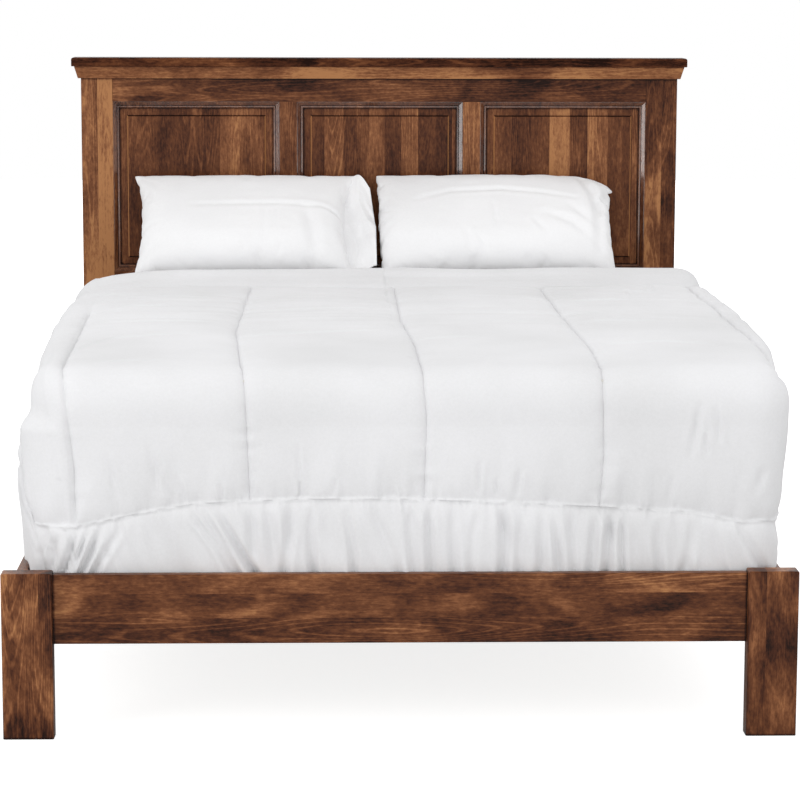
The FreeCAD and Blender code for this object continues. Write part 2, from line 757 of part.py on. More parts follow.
def slat_cleat():
    """Left cleat under the slat ends."""
    body = board("slat_cleat_left",
                 ("-side_rail_inner", "leg_back + cleat_end_gap", "side_rail_bottom + cleat_lift"),
                 ("cleat_width", "cleat_length", "cleat_height"))
    for number in range(SIZES["cleat_screw_count"]):
        screw_hole(body, f"cleat_screw_{number}", "cleat_width", "-X", "cleat_width",
                   cleat_screw_place(number), "cleat_height / 2")
    for number in SLATS:
        screw_hole(body, f"cleat_slat_{number}", "slat_screw_length - slat_thickness", "-Z",
                   "cleat_width / 2", f"{slat_middle(number)} - cleat_end_gap", "cleat_height", False)
    return keep_part(body)


def slat(number):
    body = board(f"slat_{number + 1}",
                 ("-slat_length / 2", f"leg_back + {slat_middle(number)} - slat_width / 2", "cleat_top"),
                 ("slat_length", "slat_width", "slat_thickness"))
    round_edges(body, "board_round", [X])
    inset = "(cleat_width / 2 - slat_end_gap)"
    screw_hole(body, f"slat_{number}_left", "slat_thickness", "-Z", inset, "slat_width / 2", "slat_thickness")
    screw_hole(body, f"slat_{number}_right", "slat_thickness", "-Z", f"slat_length - {inset}",
               "slat_width / 2", "slat_thickness")
    if number in LEGGED_SLATS:
        screw_hole(body, f"slat_{number}_leg", "slat_thickness", "-Z", "slat_length / 2", "slat_width / 2",
                   "slat_thickness")
    return keep_part(body)


def center_leg(label, number):
    body = board(label,
                 ("-center_leg_side / 2", f"leg_back + {slat_middle(number)} - center_leg_side / 2", "0"),
                 ("center_leg_side", "center_leg_side", "cleat_top"))
    round_edges(body, "board_round", [Z])
    screw_hole(body, f"{label}_pilot", "leg_screw_length - slat_thickness", "-Z", "center_leg_side / 2",
               "center_leg_side / 2", "cleat_top", False)
    return keep_part(body)


mirrored(slat_cleat(), "slat_cleat_right")
slat_screws, leg_screws = [], []
for number in SLATS:
    slat(number)
    middle = f"leg_back + {slat_middle(number)}"
    slat_screws.append(screw(f"slat_screw_{number}", "slat_screw_length", "-Z",
                             "-side_rail_inner + cleat_width / 2", middle, "slat_top"))
    if number in LEGGED_SLATS:
        center_leg(LEGGED_SLATS[number], number)
        leg_screws.append(screw(f"leg_screw_{number}", "leg_screw_length", "-Z", "0", middle, "slat_top"))
cleat_screws = [screw(f"cleat_screw_steel_{number}", "cleat_screw_length", "-X",
                      "-side_rail_inner + cleat_width",
                      f"leg_back + cleat_end_gap + {cleat_screw_place(number)}",
                      "side_rail_bottom + cleat_lift + cleat_height / 2")
                for number in range(SIZES["cleat_screw_count"])]
group("slat_screws", both_sides(slat_screws))
group("cleat_screws", both_sides(cleat_screws))
group("center_leg_screws", leg_screws)

# ---------------------------------------------------------------- mattress and box spring

def padded_block(label, bottom, thickness, corner_round, edge_round):
    body = board(label, ("-mattress_width / 2", "mattress_foot", bottom),
                 ("mattress_width", "mattress_length", thickness))
    round_edges(body, corner_round, [Z])
    tip = body.Tip
    rim = body.newObject("PartDesign::Fillet", f"{label}_rim")
    top, low = tip.Shape.BoundBox.ZMax, tip.Shape.BoundBox.ZMin
    level = [f"Edge{number}" for number, edge in enumerate(tip.Shape.Edges, start=1)
             if edge.BoundBox.ZMin > top - NEAR or edge.BoundBox.ZMax < low + NEAR]
    rim.Base = (tip, level)
    bind(rim, "Radius", edge_round)
    doc.recompute()
    return keep_part(body)


padded_block("box_spring", "box_spring_bottom", "box_spring_thickness", "box_spring_corner", "box_spring_round")
padded_block("mattress", "mattress_bottom", "mattress_thickness", "mattress_corner", "mattress_round")

# ---------------------------------------------------------------- soft forms: comforter and pillows

def mm(alias):
    """One driving or derived size, as a number."""
    return float(sheet.get(alias)) if alias in SIZES else getattr(derived, alias)


def arc(start, end, rise):
    """Arc from start to end whose middle stands off the chord by the vector rise."""
    return Part.Arc(start, start.add(end).multiply(0.5).add(rise), end).toShape()


def line(start, end):
    return Part.LineSegment(start, end).toShape()


# how far the middle of a quarter circle stands off its chord, along each axis, for a radius of 1
QUARTER_BOW = math.sqrt(0.5) - 0.5
CREST_STEPS = 4
# how much the cover draws in at its sides for each millimetre that its top drops
CREST_DRAW_IN = 0.3


def cover_section(y, drop, draw_in):
    """Outline across the comforter at y, closed along the hems."""
    half = mm("comforter_inner") + mm("comforter_thickness") - draw_in
    top = mm("comforter_top") - drop
    corner = mm("comforter_corner")
    seams = [mm("seam_shift") + step * mm("channel_width") for step in (-2, -1, 0, 1)]
    stops = [-half + corner] + seams + [half - corner]
    bulge = mm("comforter_bulge")
    left_low, right_low = V(-half, y, mm("left_hem")), V(half, y, mm("right_hem"))
    left_high, right_high = V(-half, y, top - corner), V(half, y, top - corner)
    bow = corner * QUARTER_BOW
    edges = [arc(left_low, left_high, V(-bulge, 0, 0)),
             arc(left_high, V(stops[0], y, top), V(-bow, 0, bow))]
    for near, far in zip(stops, stops[1:]):
        crown = mm("channel_crown") * (far - near) / mm("channel_width")
        edges.append(arc(V(near, y, top), V(far, y, top), V(0, 0, crown)))
    edges += [arc(V(stops[-1], y, top), right_high, V(bow, 0, bow)),
              arc(right_high, right_low, V(bulge, 0, 0)),
              line(right_low, left_low)]
    return Part.Wire(edges)


def comforter_shape():
    """Quilted cover over mattress and box spring, its foot end gathered and tucked behind the foot rail."""
    front, radius = mm("comforter_foot"), mm("crest_radius")
    sections = []
    for step in range(CREST_STEPS + 1):
        turn = math.radians(90 * step / CREST_STEPS)
        drop = radius * (1 - math.sin(turn))
        sections.append(cover_section(front + radius * (1 - math.cos(turn)), drop, CREST_DRAW_IN * drop))
    sections.append(cover_section(mm("comforter_head"), mm("head_draw_in"), mm("head_draw_in")))
    cover = Part.makeLoft(sections, True, True)
    folds = int(mm("foot_fold_count"))
    left = mm("foot_drop_left_gap") - mm("side_rail_inner")
    right = mm("side_rail_inner") - mm("foot_drop_right_gap")
    pitch = (right - left) / folds
    low = mm("foot_hem")
    stops = [V(left + pitch * step, front, low) for step in range(folds + 1)]
    edges = [arc(near, far, V(0, -mm("foot_fold_depth"), 0)) for near, far in zip(stops, stops[1:])]
    back = mm("mattress_foot") + mm("comforter_thickness")
    corners = [V(right, back, low), V(left, back, low)]
    edges += [line(stops[-1], corners[0]), line(corners[0], corners[1]), line(corners[1], stops[0])]
    drape = Part.Face(Part.Wire(edges)).extrude(V(0, 0, mm("foot_seam") - low))
    inner, clearance = mm("comforter_inner"), mm("comforter_clearance")
    cavity = Part.makeBox(2 * inner, mm("mattress_length"), mm("mattress_top") + clearance,
                          V(-inner, mm("mattress_foot") - clearance, 0))
    return cover.fuse(drape).cut(cavity).removeSplitter()


# sections across a pillow: place along its half width, and shares of its fullness and half height
PILLOW_SECTIONS = [(-1, 0.10, 0.97), (-0.72, 0.80, 0.94), (0, 1, 0.96), (0.72, 0.80, 0.94), (1, 0.10, 0.97)]


def pillow_shape():
    """Plump pillow lying in its own frame: width along X, height along Y, thin at its drawn-in sides."""
    half_width, half_height = mm("pillow_width") / 2, mm("pillow_height") / 2
    half_edge = mm("pillow_edge") / 2
    swell = mm("pillow_thickness") / 2 - half_edge
    sections = []
    for across, fullness, reach in PILLOW_SECTIONS:
        x, y, rise = across * half_width, reach * half_height, fullness * swell
        corners = [V(x, -y, half_edge), V(x, y, half_edge), V(x, y, -half_edge), V(x, -y, -half_edge)]
        sections.append(Part.Wire([arc(corners[0], corners[1], V(0, 0, rise)), line(corners[1], corners[2]),
                                   arc(corners[2], corners[3], V(0, 0, -rise)), line(corners[3], corners[0])]))
    return Part.makeLoft(sections, True, False)


def soft_part(label, shape, turn=FreeCAD.Rotation()):
    feature = doc.addObject("Part::Feature", label)
    feature.Label = label
    feature.Shape = shape
    feature.Placement = FreeCAD.Placement(V(), turn)
    return keep_part(feature)


soft_part("comforter", comforter_shape())

lean = FreeCAD.Rotation(X, mm("pillow_lean_degrees"))
leaning = pillow_shape()
leaning.Placement = FreeCAD.Placement(V(), lean)
leaning_box = leaning.optimalBoundingBox(False, False)
for side in ("left", "right"):
    pillow = soft_part(f"pillow_{side}", pillow_shape(), lean)
    place(pillow, f"pillow_{side}_middle", f"post_front - pillow_back_gap - {leaning_box.YMax}",
          f"mattress_top + bedding_gap - ({leaning_box.ZMin})")

# ---------------------------------------------------------------- check and write

doc.recompute()
for thing in doc.Objects:
    if {"Invalid", "Error"} & set(thing.State):
        raise RuntimeError(f"{thing.Label} is {thing.State}")
os.makedirs("parts", exist_ok=True)
for part in parts:
    if part.Shape.isNull() or not part.Shape.isValid():
        raise RuntimeError(f"{part.Label} has no valid shape")
    part.Shape.exportStep(f"parts/{part.Label}.step")
    box = part.Shape.optimalBoundingBox(False, False)
    print(f"{part.Label:22s} {len(part.Shape.Solids):2d} solids {part.Shape.Volume / 1e3:9.0f} cm3"
          f"  x {box.XMin:7.1f} {box.XMax:7.1f}  y {box.YMin:7.1f} {box.YMax:7.1f}"
          f"  z {box.ZMin:7.1f} {box.ZMax:7.1f}")
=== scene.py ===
import math

import bpy
import numpy as np
from mathutils import Matrix, Vector


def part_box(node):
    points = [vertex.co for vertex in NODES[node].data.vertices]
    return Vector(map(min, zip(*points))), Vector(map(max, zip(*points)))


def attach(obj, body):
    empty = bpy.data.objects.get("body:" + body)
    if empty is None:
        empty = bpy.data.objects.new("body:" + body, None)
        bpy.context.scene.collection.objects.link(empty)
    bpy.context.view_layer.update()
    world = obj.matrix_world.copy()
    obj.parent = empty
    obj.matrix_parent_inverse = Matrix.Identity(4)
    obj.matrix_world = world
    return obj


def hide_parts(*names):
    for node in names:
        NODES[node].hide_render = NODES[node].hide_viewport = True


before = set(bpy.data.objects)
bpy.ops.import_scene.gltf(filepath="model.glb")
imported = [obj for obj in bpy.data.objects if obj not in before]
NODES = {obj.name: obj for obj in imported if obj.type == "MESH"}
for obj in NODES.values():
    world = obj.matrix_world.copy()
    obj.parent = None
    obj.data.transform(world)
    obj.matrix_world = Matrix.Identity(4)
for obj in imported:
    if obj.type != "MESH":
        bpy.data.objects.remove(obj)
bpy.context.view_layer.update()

# Panel bed with its bedding, in metres: +Z up, the foot towards -Y, the origin on the floor.


# ---- camera, light and floor

CAMERA_PLACE = Vector((-0.168, -6.744, 1.567))
CAMERA_PITCH = math.radians(8.61)
CAMERA_YAW = math.radians(1.66)
CAMERA_ROLL = math.radians(0.151)
CAMERA_LENS = 126.05
SENSOR = 36.0
# how bright the room is in reflections, towards the camera and behind the bed, and for diffuse light
ROOM_GLOSS, BACK_GLOSS = 0.02, 1.4
AMBIENT = 0.92
FLOOR_SIZE = 30.0
FLOOR_GREY = 0.60
FLOOR_GLOSS = 0.2
# the floor's glow as the camera sees it, from under the bed to beyond its shadow
GLOW_NEAR, GLOW_FAR = 0.80, 1.0
GLOW_START, GLOW_END = 1.3, 2.6


def make_camera():
    """The photograph's viewpoint: a long lens at the foot of the bed, a little to the left."""
    forward = Vector((math.sin(CAMERA_YAW) * math.cos(CAMERA_PITCH),
                      math.cos(CAMERA_YAW) * math.cos(CAMERA_PITCH),
                      -math.sin(CAMERA_PITCH)))
    right = Vector((math.cos(CAMERA_YAW), -math.sin(CAMERA_YAW), 0))
    up = right.cross(forward)
    turned_right = right * math.cos(CAMERA_ROLL) + up * math.sin(CAMERA_ROLL)
    turned_up = up * math.cos(CAMERA_ROLL) - right * math.sin(CAMERA_ROLL)
    lens = bpy.data.cameras.new("camera")
    lens.lens = CAMERA_LENS
    lens.sensor_width = SENSOR
    lens.clip_end = 60
    camera = add_object("camera", lens)
    turn = Matrix((turned_right, turned_up, -forward)).transposed()
    camera.matrix_world = Matrix.Translation(CAMERA_PLACE) @ turn.to_4x4()
    bpy.context.scene.camera = camera


def make_lamp(name, place, target, width, height, power, only_gloss=False):
    """A soft rectangular lamp that looks at target, or a light panel that shows only in reflections."""
    data = bpy.data.lights.new(name, "AREA")
    data.shape = "RECTANGLE"
    data.size, data.size_y = width, height
    data.energy = power
    lamp = add_object(name, data)
    lamp.location = place
    lamp.visible_diffuse = not only_gloss
    lamp.rotation_euler = (Vector(target) - Vector(place)).to_track_quat("-Z", "Y").to_euler()


def seen_directly(tree, rays):
    """1 for the camera's own rays and for those that have passed through something."""
    return math_node(tree, "MAXIMUM", rays["Is Camera Ray"], rays["Is Transmission Ray"])


def make_world():
    """White behind the object and for the camera, dimmer on the camera's side and for diffuse light."""
    world = bpy.data.worlds.new("studio")
    bpy.context.scene.world = world
    world.use_nodes = True
    tree = world.node_tree
    tree.nodes.clear()
    direction = node(tree, "TexCoord").outputs["Generated"]
    behind = node(tree, "SeparateXYZ", {0: direction}).outputs["Y"]
    backdrop = map_range(tree, behind, -0.25, 0.35, ROOM_GLOSS, BACK_GLOSS)
    rays = node(tree, "LightPath").outputs
    reflected = math_node(tree, "MULTIPLY", rays["Is Glossy Ray"], backdrop)
    shown = math_node(tree, "MAXIMUM", reflected, seen_directly(tree, rays))
    fill = math_node(tree, "MULTIPLY", rays["Is Diffuse Ray"], AMBIENT)
    strength = math_node(tree, "MAXIMUM", shown, fill)
    white = node(tree, "Background", {"Color": (1, 1, 1, 1), "Strength": strength})
    node(tree, "OutputWorld", {"Surface": white.outputs[0]})


def make_floor():
    """Pale floor: white to the camera, dimmer in reflections, with the object's shadow on it."""
    half = FLOOR_SIZE / 2
    floor = mesh_object("floor", [(-half, -half, 0), (half, -half, 0), (half, half, 0), (-half, half, 0)],
                        [(0, 1, 2, 3)])
    material = new_material("pale_floor")
    tree = material.node_tree
    rays = node(tree, "LightPath").outputs
    seen = math_node(tree, "MULTIPLY_ADD", rays["Is Glossy Ray"], FLOOR_GLOSS, seen_directly(tree, rays))
    place = node(tree, "TexCoord").outputs["Object"]
    distance = node(tree, "VectorMath", {0: place}, operation="LENGTH").outputs["Value"]
    reach = map_range(tree, distance, GLOW_START, GLOW_END, GLOW_NEAR, GLOW_FAR)
    principled(tree, {"Base Color": (FLOOR_GREY, FLOOR_GREY, FLOOR_GREY, 1), "Roughness": 0.9,
                      "Specular IOR Level": 0.0, "Emission Color": (1, 1, 1, 1),
                      "Emission Strength": math_node(tree, "MULTIPLY", seen, reach)})
    floor.data.materials.append(material)


# ---- node and mesh helpers

def node(tree, kind, inputs=None, **settings):
    """A shader node whose settings and inputs are given by name; an input can be a socket or a value."""
    made = tree.nodes.new("ShaderNode" + kind)
    for name, value in settings.items():
        setattr(made, name, value)
    for name, value in (inputs or {}).items():
        if isinstance(value, bpy.types.NodeSocket):
            tree.links.new(value, made.inputs[name])
        else:
            made.inputs[name].default_value = value
    return made


def new_material(name):
    material = bpy.data.materials.new(name)
    material.use_nodes = True
    material.node_tree.nodes.clear()
    return material


def principled(tree, inputs):
    """The surface shader with its inputs, joined to the material's output."""
    bsdf = node(tree, "BsdfPrincipled", inputs)
    node(tree, "OutputMaterial", {"Surface": bsdf.outputs[0]})


def linear(red, green, blue):
    """A colour as it is seen on screen, from 0 to 255, as linear light."""
    shares = [value / 255 for value in (red, green, blue)]
    return tuple(s / 12.92 if s < 0.04045 else ((s + 0.055) / 1.055) ** 2.4 for s in shares) + (1.0,)


def ramp(tree, value, stops, interpolation="LINEAR"):
    """Colour output of a ramp over value; stops are (place, colour or grey)."""
    made = node(tree, "ValToRGB", {"Fac": value})
    band = made.color_ramp
    band.interpolation = interpolation
    while len(band.elements) < len(stops):
        band.elements.new(0.5)
    for element, (place, colour) in zip(band.elements, stops):
        element.position = place
        element.color = colour if isinstance(colour, tuple) else (colour, colour, colour, 1)
    return made.outputs["Color"]


def math_node(tree, operation, *values):
    return node(tree, "Math", dict(enumerate(values)), operation=operation).outputs[0]


def map_range(tree, value, low, high, to_low=0.0, to_high=1.0):
    return node(tree, "MapRange", {"Value": value, "From Min": low, "From Max": high,
                                   "To Min": to_low, "To Max": to_high}).outputs["Result"]


def noise(tree, vector, scale, detail=2.0, roughness=0.5, distortion=0.0):
    return node(tree, "TexNoise", {"Vector": vector, "Scale": scale, "Detail": detail,
                                   "Roughness": roughness, "Distortion": distortion}).outputs["Fac"]


def add_object(name, data):
    """A new object in the scene."""
    made = bpy.data.objects.new(name, data)
    bpy.context.scene.collection.objects.link(made)
    return made


def mesh_object(name, points, faces):
    mesh = bpy.data.meshes.new(name)
    mesh.from_pydata([tuple(map(float, p)) for p in points], [], faces)
    mesh.polygons.foreach_set("use_smooth", [True] * len(mesh.polygons))
    mesh.update()
    return add_object(name, mesh)


# ---- wood

STAIN = [(0.0, linear(34, 15, 8)), (0.25, linear(74, 39, 23)), (0.5, linear(104, 61, 36)),
         (0.75, linear(138, 88, 56)), (1.0, linear(176, 122, 78))]
BARE = [(0.0, linear(150, 112, 74)), (0.5, linear(190, 155, 112)), (1.0, linear(214, 184, 142))]
# how much the grain and the shorter mottling are drawn out along the board
GRAIN_STRETCH, MOTTLE_STRETCH = 0.07, 0.38
# how far each board's pattern lies from another's, for a difference of 1 in tone
BOARD_SHIFT = (31.7, 47.3, 17.9)
PORE_DARKENING = 0.14
# how far the ambient occlusion looks, and how much painted shade it puts in the inner corners
CORNER_REACH, CORNER_SHADE = 0.009, 0.75
# painted highlight on the upright steps of the raised panels, and the roughness of those steps
STEP_HIGHLIGHT_TONE, UPRIGHT_STEP_ROUGHNESS = 1.1, 0.16


def board_space(tree, place, grain, stretch, start, shift):
    """Coordinates drawn out along the grain, and moved apart for each board."""
    scale = [stretch if axis == grain else 1.0 for axis in "XYZ"]
    moved = node(tree, "Mapping", {"Vector": place, "Scale": scale, "Location": start}).outputs[0]
    return node(tree, "VectorMath", {0: moved, 1: shift}, operation="ADD").outputs[0]


def wood(name, grain, tone=0.5, across="X", boards=(), colours=STAIN, figure=0.20, blotch=1.2,
         gloss=0.40, step_shade=0.0, shine=0.14, seed=0.0):
    """Stained hardwood with its grain along one axis.

    boards lists (edge, tone) along the axis across, one for each glued board, each from its edge on."""
    material = new_material(name)
    tree = material.node_tree
    place = node(tree, "TexCoord").outputs["Object"]
    axes = node(tree, "SeparateXYZ", {0: place})
    if boards:
        low, high = boards[0][0], boards[-1][0] + 0.1
        stops = [((edge - low) / (high - low), board_tone) for edge, board_tone in boards]
        share = map_range(tree, axes.outputs[across], low, high)
        board = ramp(tree, share, stops, "CONSTANT")
    else:
        board = ramp(tree, axes.outputs[across], [(0.0, tone), (1.0, tone)], "CONSTANT")
    board = math_node(tree, "ADD", board, 0.0)
    shift = node(tree, "CombineXYZ", {axis: math_node(tree, "MULTIPLY", board, apart)
                                      for axis, apart in zip("XYZ", BOARD_SHIFT)}).outputs[0]
    stretched = board_space(tree, place, grain, GRAIN_STRETCH, (seed, seed * 1.7, seed * 0.6), shift)
    # contour lines of a smooth field make the arches of plain-sawn boards, in places
    field = noise(tree, stretched, 11.0, 1.5, 0.45)
    rings = math_node(tree, "SINE", math_node(tree, "MULTIPLY", field, 230.0))
    rings = map_range(tree, rings, 0.55, 1.0)
    figured = map_range(tree, noise(tree, stretched, 6.0, 1.0), 0.42, 0.56)
    rings = math_node(tree, "MULTIPLY", rings, figured)
    broad = noise(tree, stretched, 26.0, 3.0, 0.55)
    fibre = noise(tree, stretched, 420.0, 3.0, 0.6)
    pores = map_range(tree, noise(tree, stretched, 900.0, 1.0, 0.5), 0.60, 0.72)
    short = board_space(tree, place, grain, MOTTLE_STRETCH, (seed * 1.3, seed, seed * 2.1), shift)
    mottle = noise(tree, short, 170.0, 3.0, 0.65)
    stain = noise(tree, short, 12.0, 3.0, 0.55, 0.8)
    total = math_node(tree, "MULTIPLY_ADD", rings, figure, board)
    for part, share in ((broad, 0.70), (fibre, 0.42), (mottle, 0.75), (stain, blotch)):
        total = math_node(tree, "MULTIPLY_ADD", math_node(tree, "SUBTRACT", part, 0.5), share, total)
    total = math_node(tree, "MULTIPLY_ADD", pores, -PORE_DARKENING, total)
    # painted shade: the colour darkened in the inner corners that ambient occlusion finds
    opening = node(tree, "AmbientOcclusion", {"Distance": CORNER_REACH}).outputs["AO"]
    total = math_node(tree, "MULTIPLY_ADD", map_range(tree, opening, 0.85, 0.45), -CORNER_SHADE, total)
    roughness = map_range(tree, fibre, 0.3, 0.7, gloss - 0.05, gloss + 0.08)
    if step_shade:
        # painted shade also on the steps that face up or down, and a painted highlight on the upright
        # steps, which are made glossier too
        normal = node(tree, "SeparateXYZ", {0: node(tree, "NewGeometry").outputs["Normal"]})
        steps = map_range(tree, math_node(tree, "ABSOLUTE", normal.outputs["Z"]), 0.10, 0.45)
        total = math_node(tree, "MULTIPLY_ADD", steps, -step_shade, total)
        upright_steps = map_range(tree, math_node(tree, "ABSOLUTE", normal.outputs["X"]), 0.10, 0.45)
        total = math_node(tree, "MULTIPLY_ADD", upright_steps, STEP_HIGHLIGHT_TONE, total)
        roughness = math_node(tree, "MULTIPLY_ADD", upright_steps, UPRIGHT_STEP_ROUGHNESS - gloss, roughness)
    height = math_node(tree, "MULTIPLY_ADD", pores, -0.6, fibre)
    bump = node(tree, "Bump", {"Height": height, "Strength": 0.12, "Distance": 0.0006})
    principled(tree, {"Base Color": ramp(tree, total, colours), "Roughness": roughness,
                      "Specular IOR Level": shine, "Normal": bump.outputs[0]})
    return material


def metal(name):
    """Zinc-plated steel."""
    material = new_material(name)
    tree = material.node_tree
    place = node(tree, "TexCoord").outputs["Object"]
    spangle = noise(tree, place, 260.0, 3.0, 0.6)
    colour = ramp(tree, spangle, [(0.3, linear(150, 152, 150)), (0.7, linear(196, 198, 196))])
    principled(tree, {"Base Color": colour, "Metallic": 1.0,
                      "Roughness": map_range(tree, spangle, 0.3, 0.7, 0.28, 0.45)})
    return material


def fabric(name, dark, light, weave=1800.0, bump=0.25):
    """Woven cotton: crossing threads, small slubs and slow changes of tone."""
    material = new_material(name)
    tree = material.node_tree
    place = node(tree, "TexCoord").outputs["Object"]
    slow = noise(tree, place, 3.0, 3.0, 0.5)
    slub = noise(tree, place, 160.0, 2.0, 0.6)
    thread = noise(tree, place, weave, 1.0, 0.5)
    mixed = math_node(tree, "MULTIPLY_ADD", math_node(tree, "SUBTRACT", thread, 0.5), 0.5, slow)
    mixed = math_node(tree, "MULTIPLY_ADD", math_node(tree, "SUBTRACT", slub, 0.5), 0.3, mixed)
    height = math_node(tree, "MULTIPLY_ADD", slub, 0.6, thread)
    made = node(tree, "Bump", {"Height": height, "Strength": bump, "Distance": 0.0004})
    principled(tree, {"Base Color": ramp(tree, mixed, [(0.2, dark), (0.8, light)]),
                      "Roughness": map_range(tree, slub, 0.3, 0.7, 0.80, 0.90),
                      "Specular IOR Level": 0.2, "Sheen Weight": 0.15, "Normal": made.outputs[0]})
    return material


def dress(name, material):
    """Gives a CAD node its material, in the slots it has."""
    mesh = NODES[name].data
    if not mesh.materials:
        mesh.materials.append(material)
    for slot in range(len(mesh.materials)):
        mesh.materials[slot] = material


def dress_frame():
    """Materials of the wood and metal pieces."""
    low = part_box("headboard_post_left")[0]
    # the left post is toned lighter than the right: painted light and a painted sheen from the lamp at the
    # left, over the boards' own tones
    dress("headboard_post_left", wood("wood_post_left", "Z", seed=1.3,
                                      boards=[(low.x, 0.62), (-0.781, 0.98)]))
    dress("headboard_post_right", wood("wood_post_right", "Z", seed=2.9,
                                       blotch=1.7, boards=[(0.738, 0.55), (0.784, 0.42)]))
    dress("headboard_top_rail", wood("wood_top_rail", "X", tone=0.42, seed=4.1, blotch=1.6))
    dress("headboard_middle_rail", wood("wood_middle_rail", "X", tone=0.42, seed=5.7))
    dress("headboard_lower_rail", wood("wood_lower_rail", "X", tone=0.42, seed=6.3, across="Z",
                                       boards=[(0.19, 0.36), (0.26, 0.5)]))
    dress("mullion_left", wood("wood_mullion_left", "Z", tone=0.46, seed=7.7))
    dress("mullion_right", wood("wood_mullion_right", "Z", tone=0.62, seed=8.1))
    panels = {
        "left": [(-0.75, 0.42), (-0.662, 0.36), (-0.607, 0.36), (-0.551, 0.44), (-0.495, 0.33),
                 (-0.445, 0.70), (-0.389, 0.62), (-0.333, 0.46)],
        "center": [(-0.24, 0.45), (-0.154, 0.56), (-0.101, 0.42), (-0.03, 0.62), (0.013, 0.45),
                   (0.059, 0.68), (0.105, 0.38), (0.155, 0.22), (0.2, 0.5)],
        "right": [(0.27, 0.44), (0.301, 0.56), (0.364, 0.26), (0.418, 0.46), (0.471, 1.0),
                  (0.527, 0.45), (0.577, 0.68), (0.633, 0.5), (0.703, 0.6)],
    }
    # the raised panels get painted shade on their steps that face up or down, and a painted highlight on
    # their upright steps
    for number, (side, boards) in enumerate(panels.items()):
        dress(f"raised_panel_{side}", wood(f"wood_panel_{side}", "Z", boards=boards, seed=10 + 3.1 * number,
                                           step_shade=0.5, blotch=0.8))
        dress(f"panel_moulding_{side}", wood(f"wood_moulding_{side}", "Z", tone=0.4, seed=20 + number,
                                             gloss=0.14, shine=0.6, blotch=0.8))
    dress("crown_cap", wood("wood_cap", "X", tone=0.17, seed=31, shine=0.05))
    dress("crown_cove_front", wood("wood_cove", "X", tone=0.70, seed=32))
    for side in ("left", "right"):
        dress(f"crown_cove_{side}", wood(f"wood_cove_{side}", "Y", tone=0.6, seed=33))
    dress("footboard_leg_left", wood("wood_leg_left", "Z", seed=41, blotch=2.4,
                                     boards=[(-0.825, 0.51), (-0.748, 0.34)]))
    dress("footboard_leg_right", wood("wood_leg_right", "Z", seed=43, blotch=2.4,
                                     boards=[(0.72, 0.37), (0.757, 0.42)]))
    dress("foot_rail", wood("wood_foot_rail", "X", seed=45, across="Z", figure=0.24, blotch=1.6,
                            boards=[(0.197, 0.36), (0.251, 0.47), (0.302, 0.56)]))
    for side in ("left", "right"):
        dress(f"side_rail_{side}", wood(f"wood_side_rail_{side}", "Y", seed=51, across="Z",
                                        boards=[(0.189, 0.42), (0.262, 0.5)]))
        dress(f"slat_cleat_{side}", wood(f"wood_cleat_{side}", "Y", colours=BARE, gloss=0.6, seed=61))
    for number in range(1, 6):
        dress(f"slat_{number}", wood(f"wood_slat_{number}", "X", colours=BARE, gloss=0.6,
                                     seed=62 + number))
    for name in ("center_leg_front", "center_leg_back"):
        dress(name, wood(f"wood_{name}", "Z", tone=0.45, colours=BARE, gloss=0.6, seed=71))
    steel = metal("zinc_steel")
    for name in ("rail_hook_plates", "post_slot_plates", "bracket_screws", "slat_screws", "cleat_screws",
                 "center_leg_screws"):
        dress(name, steel)


# ---- shared shapes

def value_noise(x, y, seed):
    """Smooth noise from -1 to 1 over a lattice of side 1."""
    lattice = np.random.default_rng(seed).uniform(-1, 1, (128, 128))
    column, row = np.floor(x).astype(int), np.floor(y).astype(int)
    u, v = x - column, y - row
    u, v = u * u * (3 - 2 * u), v * v * (3 - 2 * v)
    column, row = column % 127, row % 127
    near = lattice[column, row] * (1 - u) + lattice[column + 1, row] * u
    far = lattice[column, row + 1] * (1 - u) + lattice[column + 1, row + 1] * u
    return near * (1 - v) + far * v


def along_table(table, value):
    places, numbers = zip(*table)
    return np.interp(value, places, numbers)


def fade(value, start, end):
    """1 before start, 0 after end, smooth between them."""
    t = np.clip((np.asarray(value, float) - start) / (end - start), 0, 1)
    return 1 - t * t * (3 - 2 * t)


def bell(offset, width):
    """1 on a line, falling off smoothly on both sides of it."""
    return np.exp(-(offset / width) ** 2)


def fold_depth(offset, ridge, ridge_place):
    """A dent with a low ridge on each side of it; offset is in half widths of the fold."""
    return bell(offset, 1) - ridge * bell(np.abs(offset) - ridge_place, 1)


def near_path(x, y, path, margin=0.0, power=0.6):
    """Distance from each point to a path, and a fold's fullness there: 1 midway, least at its ends."""
    path = np.array(path)
    nearest, along = np.full(len(x), 9.0), np.zeros(len(x))
    for number, (start, end) in enumerate(zip(path, path[1:])):
        leg = end - start
        share = np.clip(((x - start[0]) * leg[0] + (y - start[1]) * leg[1]) / (leg @ leg), 0, 1)
        gap = np.hypot(x - start[0] - share * leg[0], y - start[1] - share * leg[1])
        along = np.where(gap < nearest, (number + share) / (len(path) - 1), along)
        nearest = np.minimum(nearest, gap)
    return nearest, np.sin(math.pi * np.clip(along, margin, 1 - margin)) ** power


def divided(knots, step, fine=(0.0018, 0.0042, 0.0072, 0.0110)):
    """Places from the first knot to the last, about step apart and closer on both sides of each knot."""
    places = [knots[0]]
    for start, end in zip(knots, knots[1:]):
        count = max(round((end - start - 2 * fine[-1]) / step), 1)
        places += [start + near for near in fine]
        places += list(np.linspace(start + fine[-1], end - fine[-1], count + 1)[1:-1])
        places += [end - near for near in reversed(fine)] + [end]
    return np.array(places)


def grid_quads(number):
    """Four-sided faces over a grid of vertex numbers."""
    return np.stack([number[:-1, :-1], number[1:, :-1], number[1:, 1:], number[:-1, 1:]], -1).reshape(-1, 4)


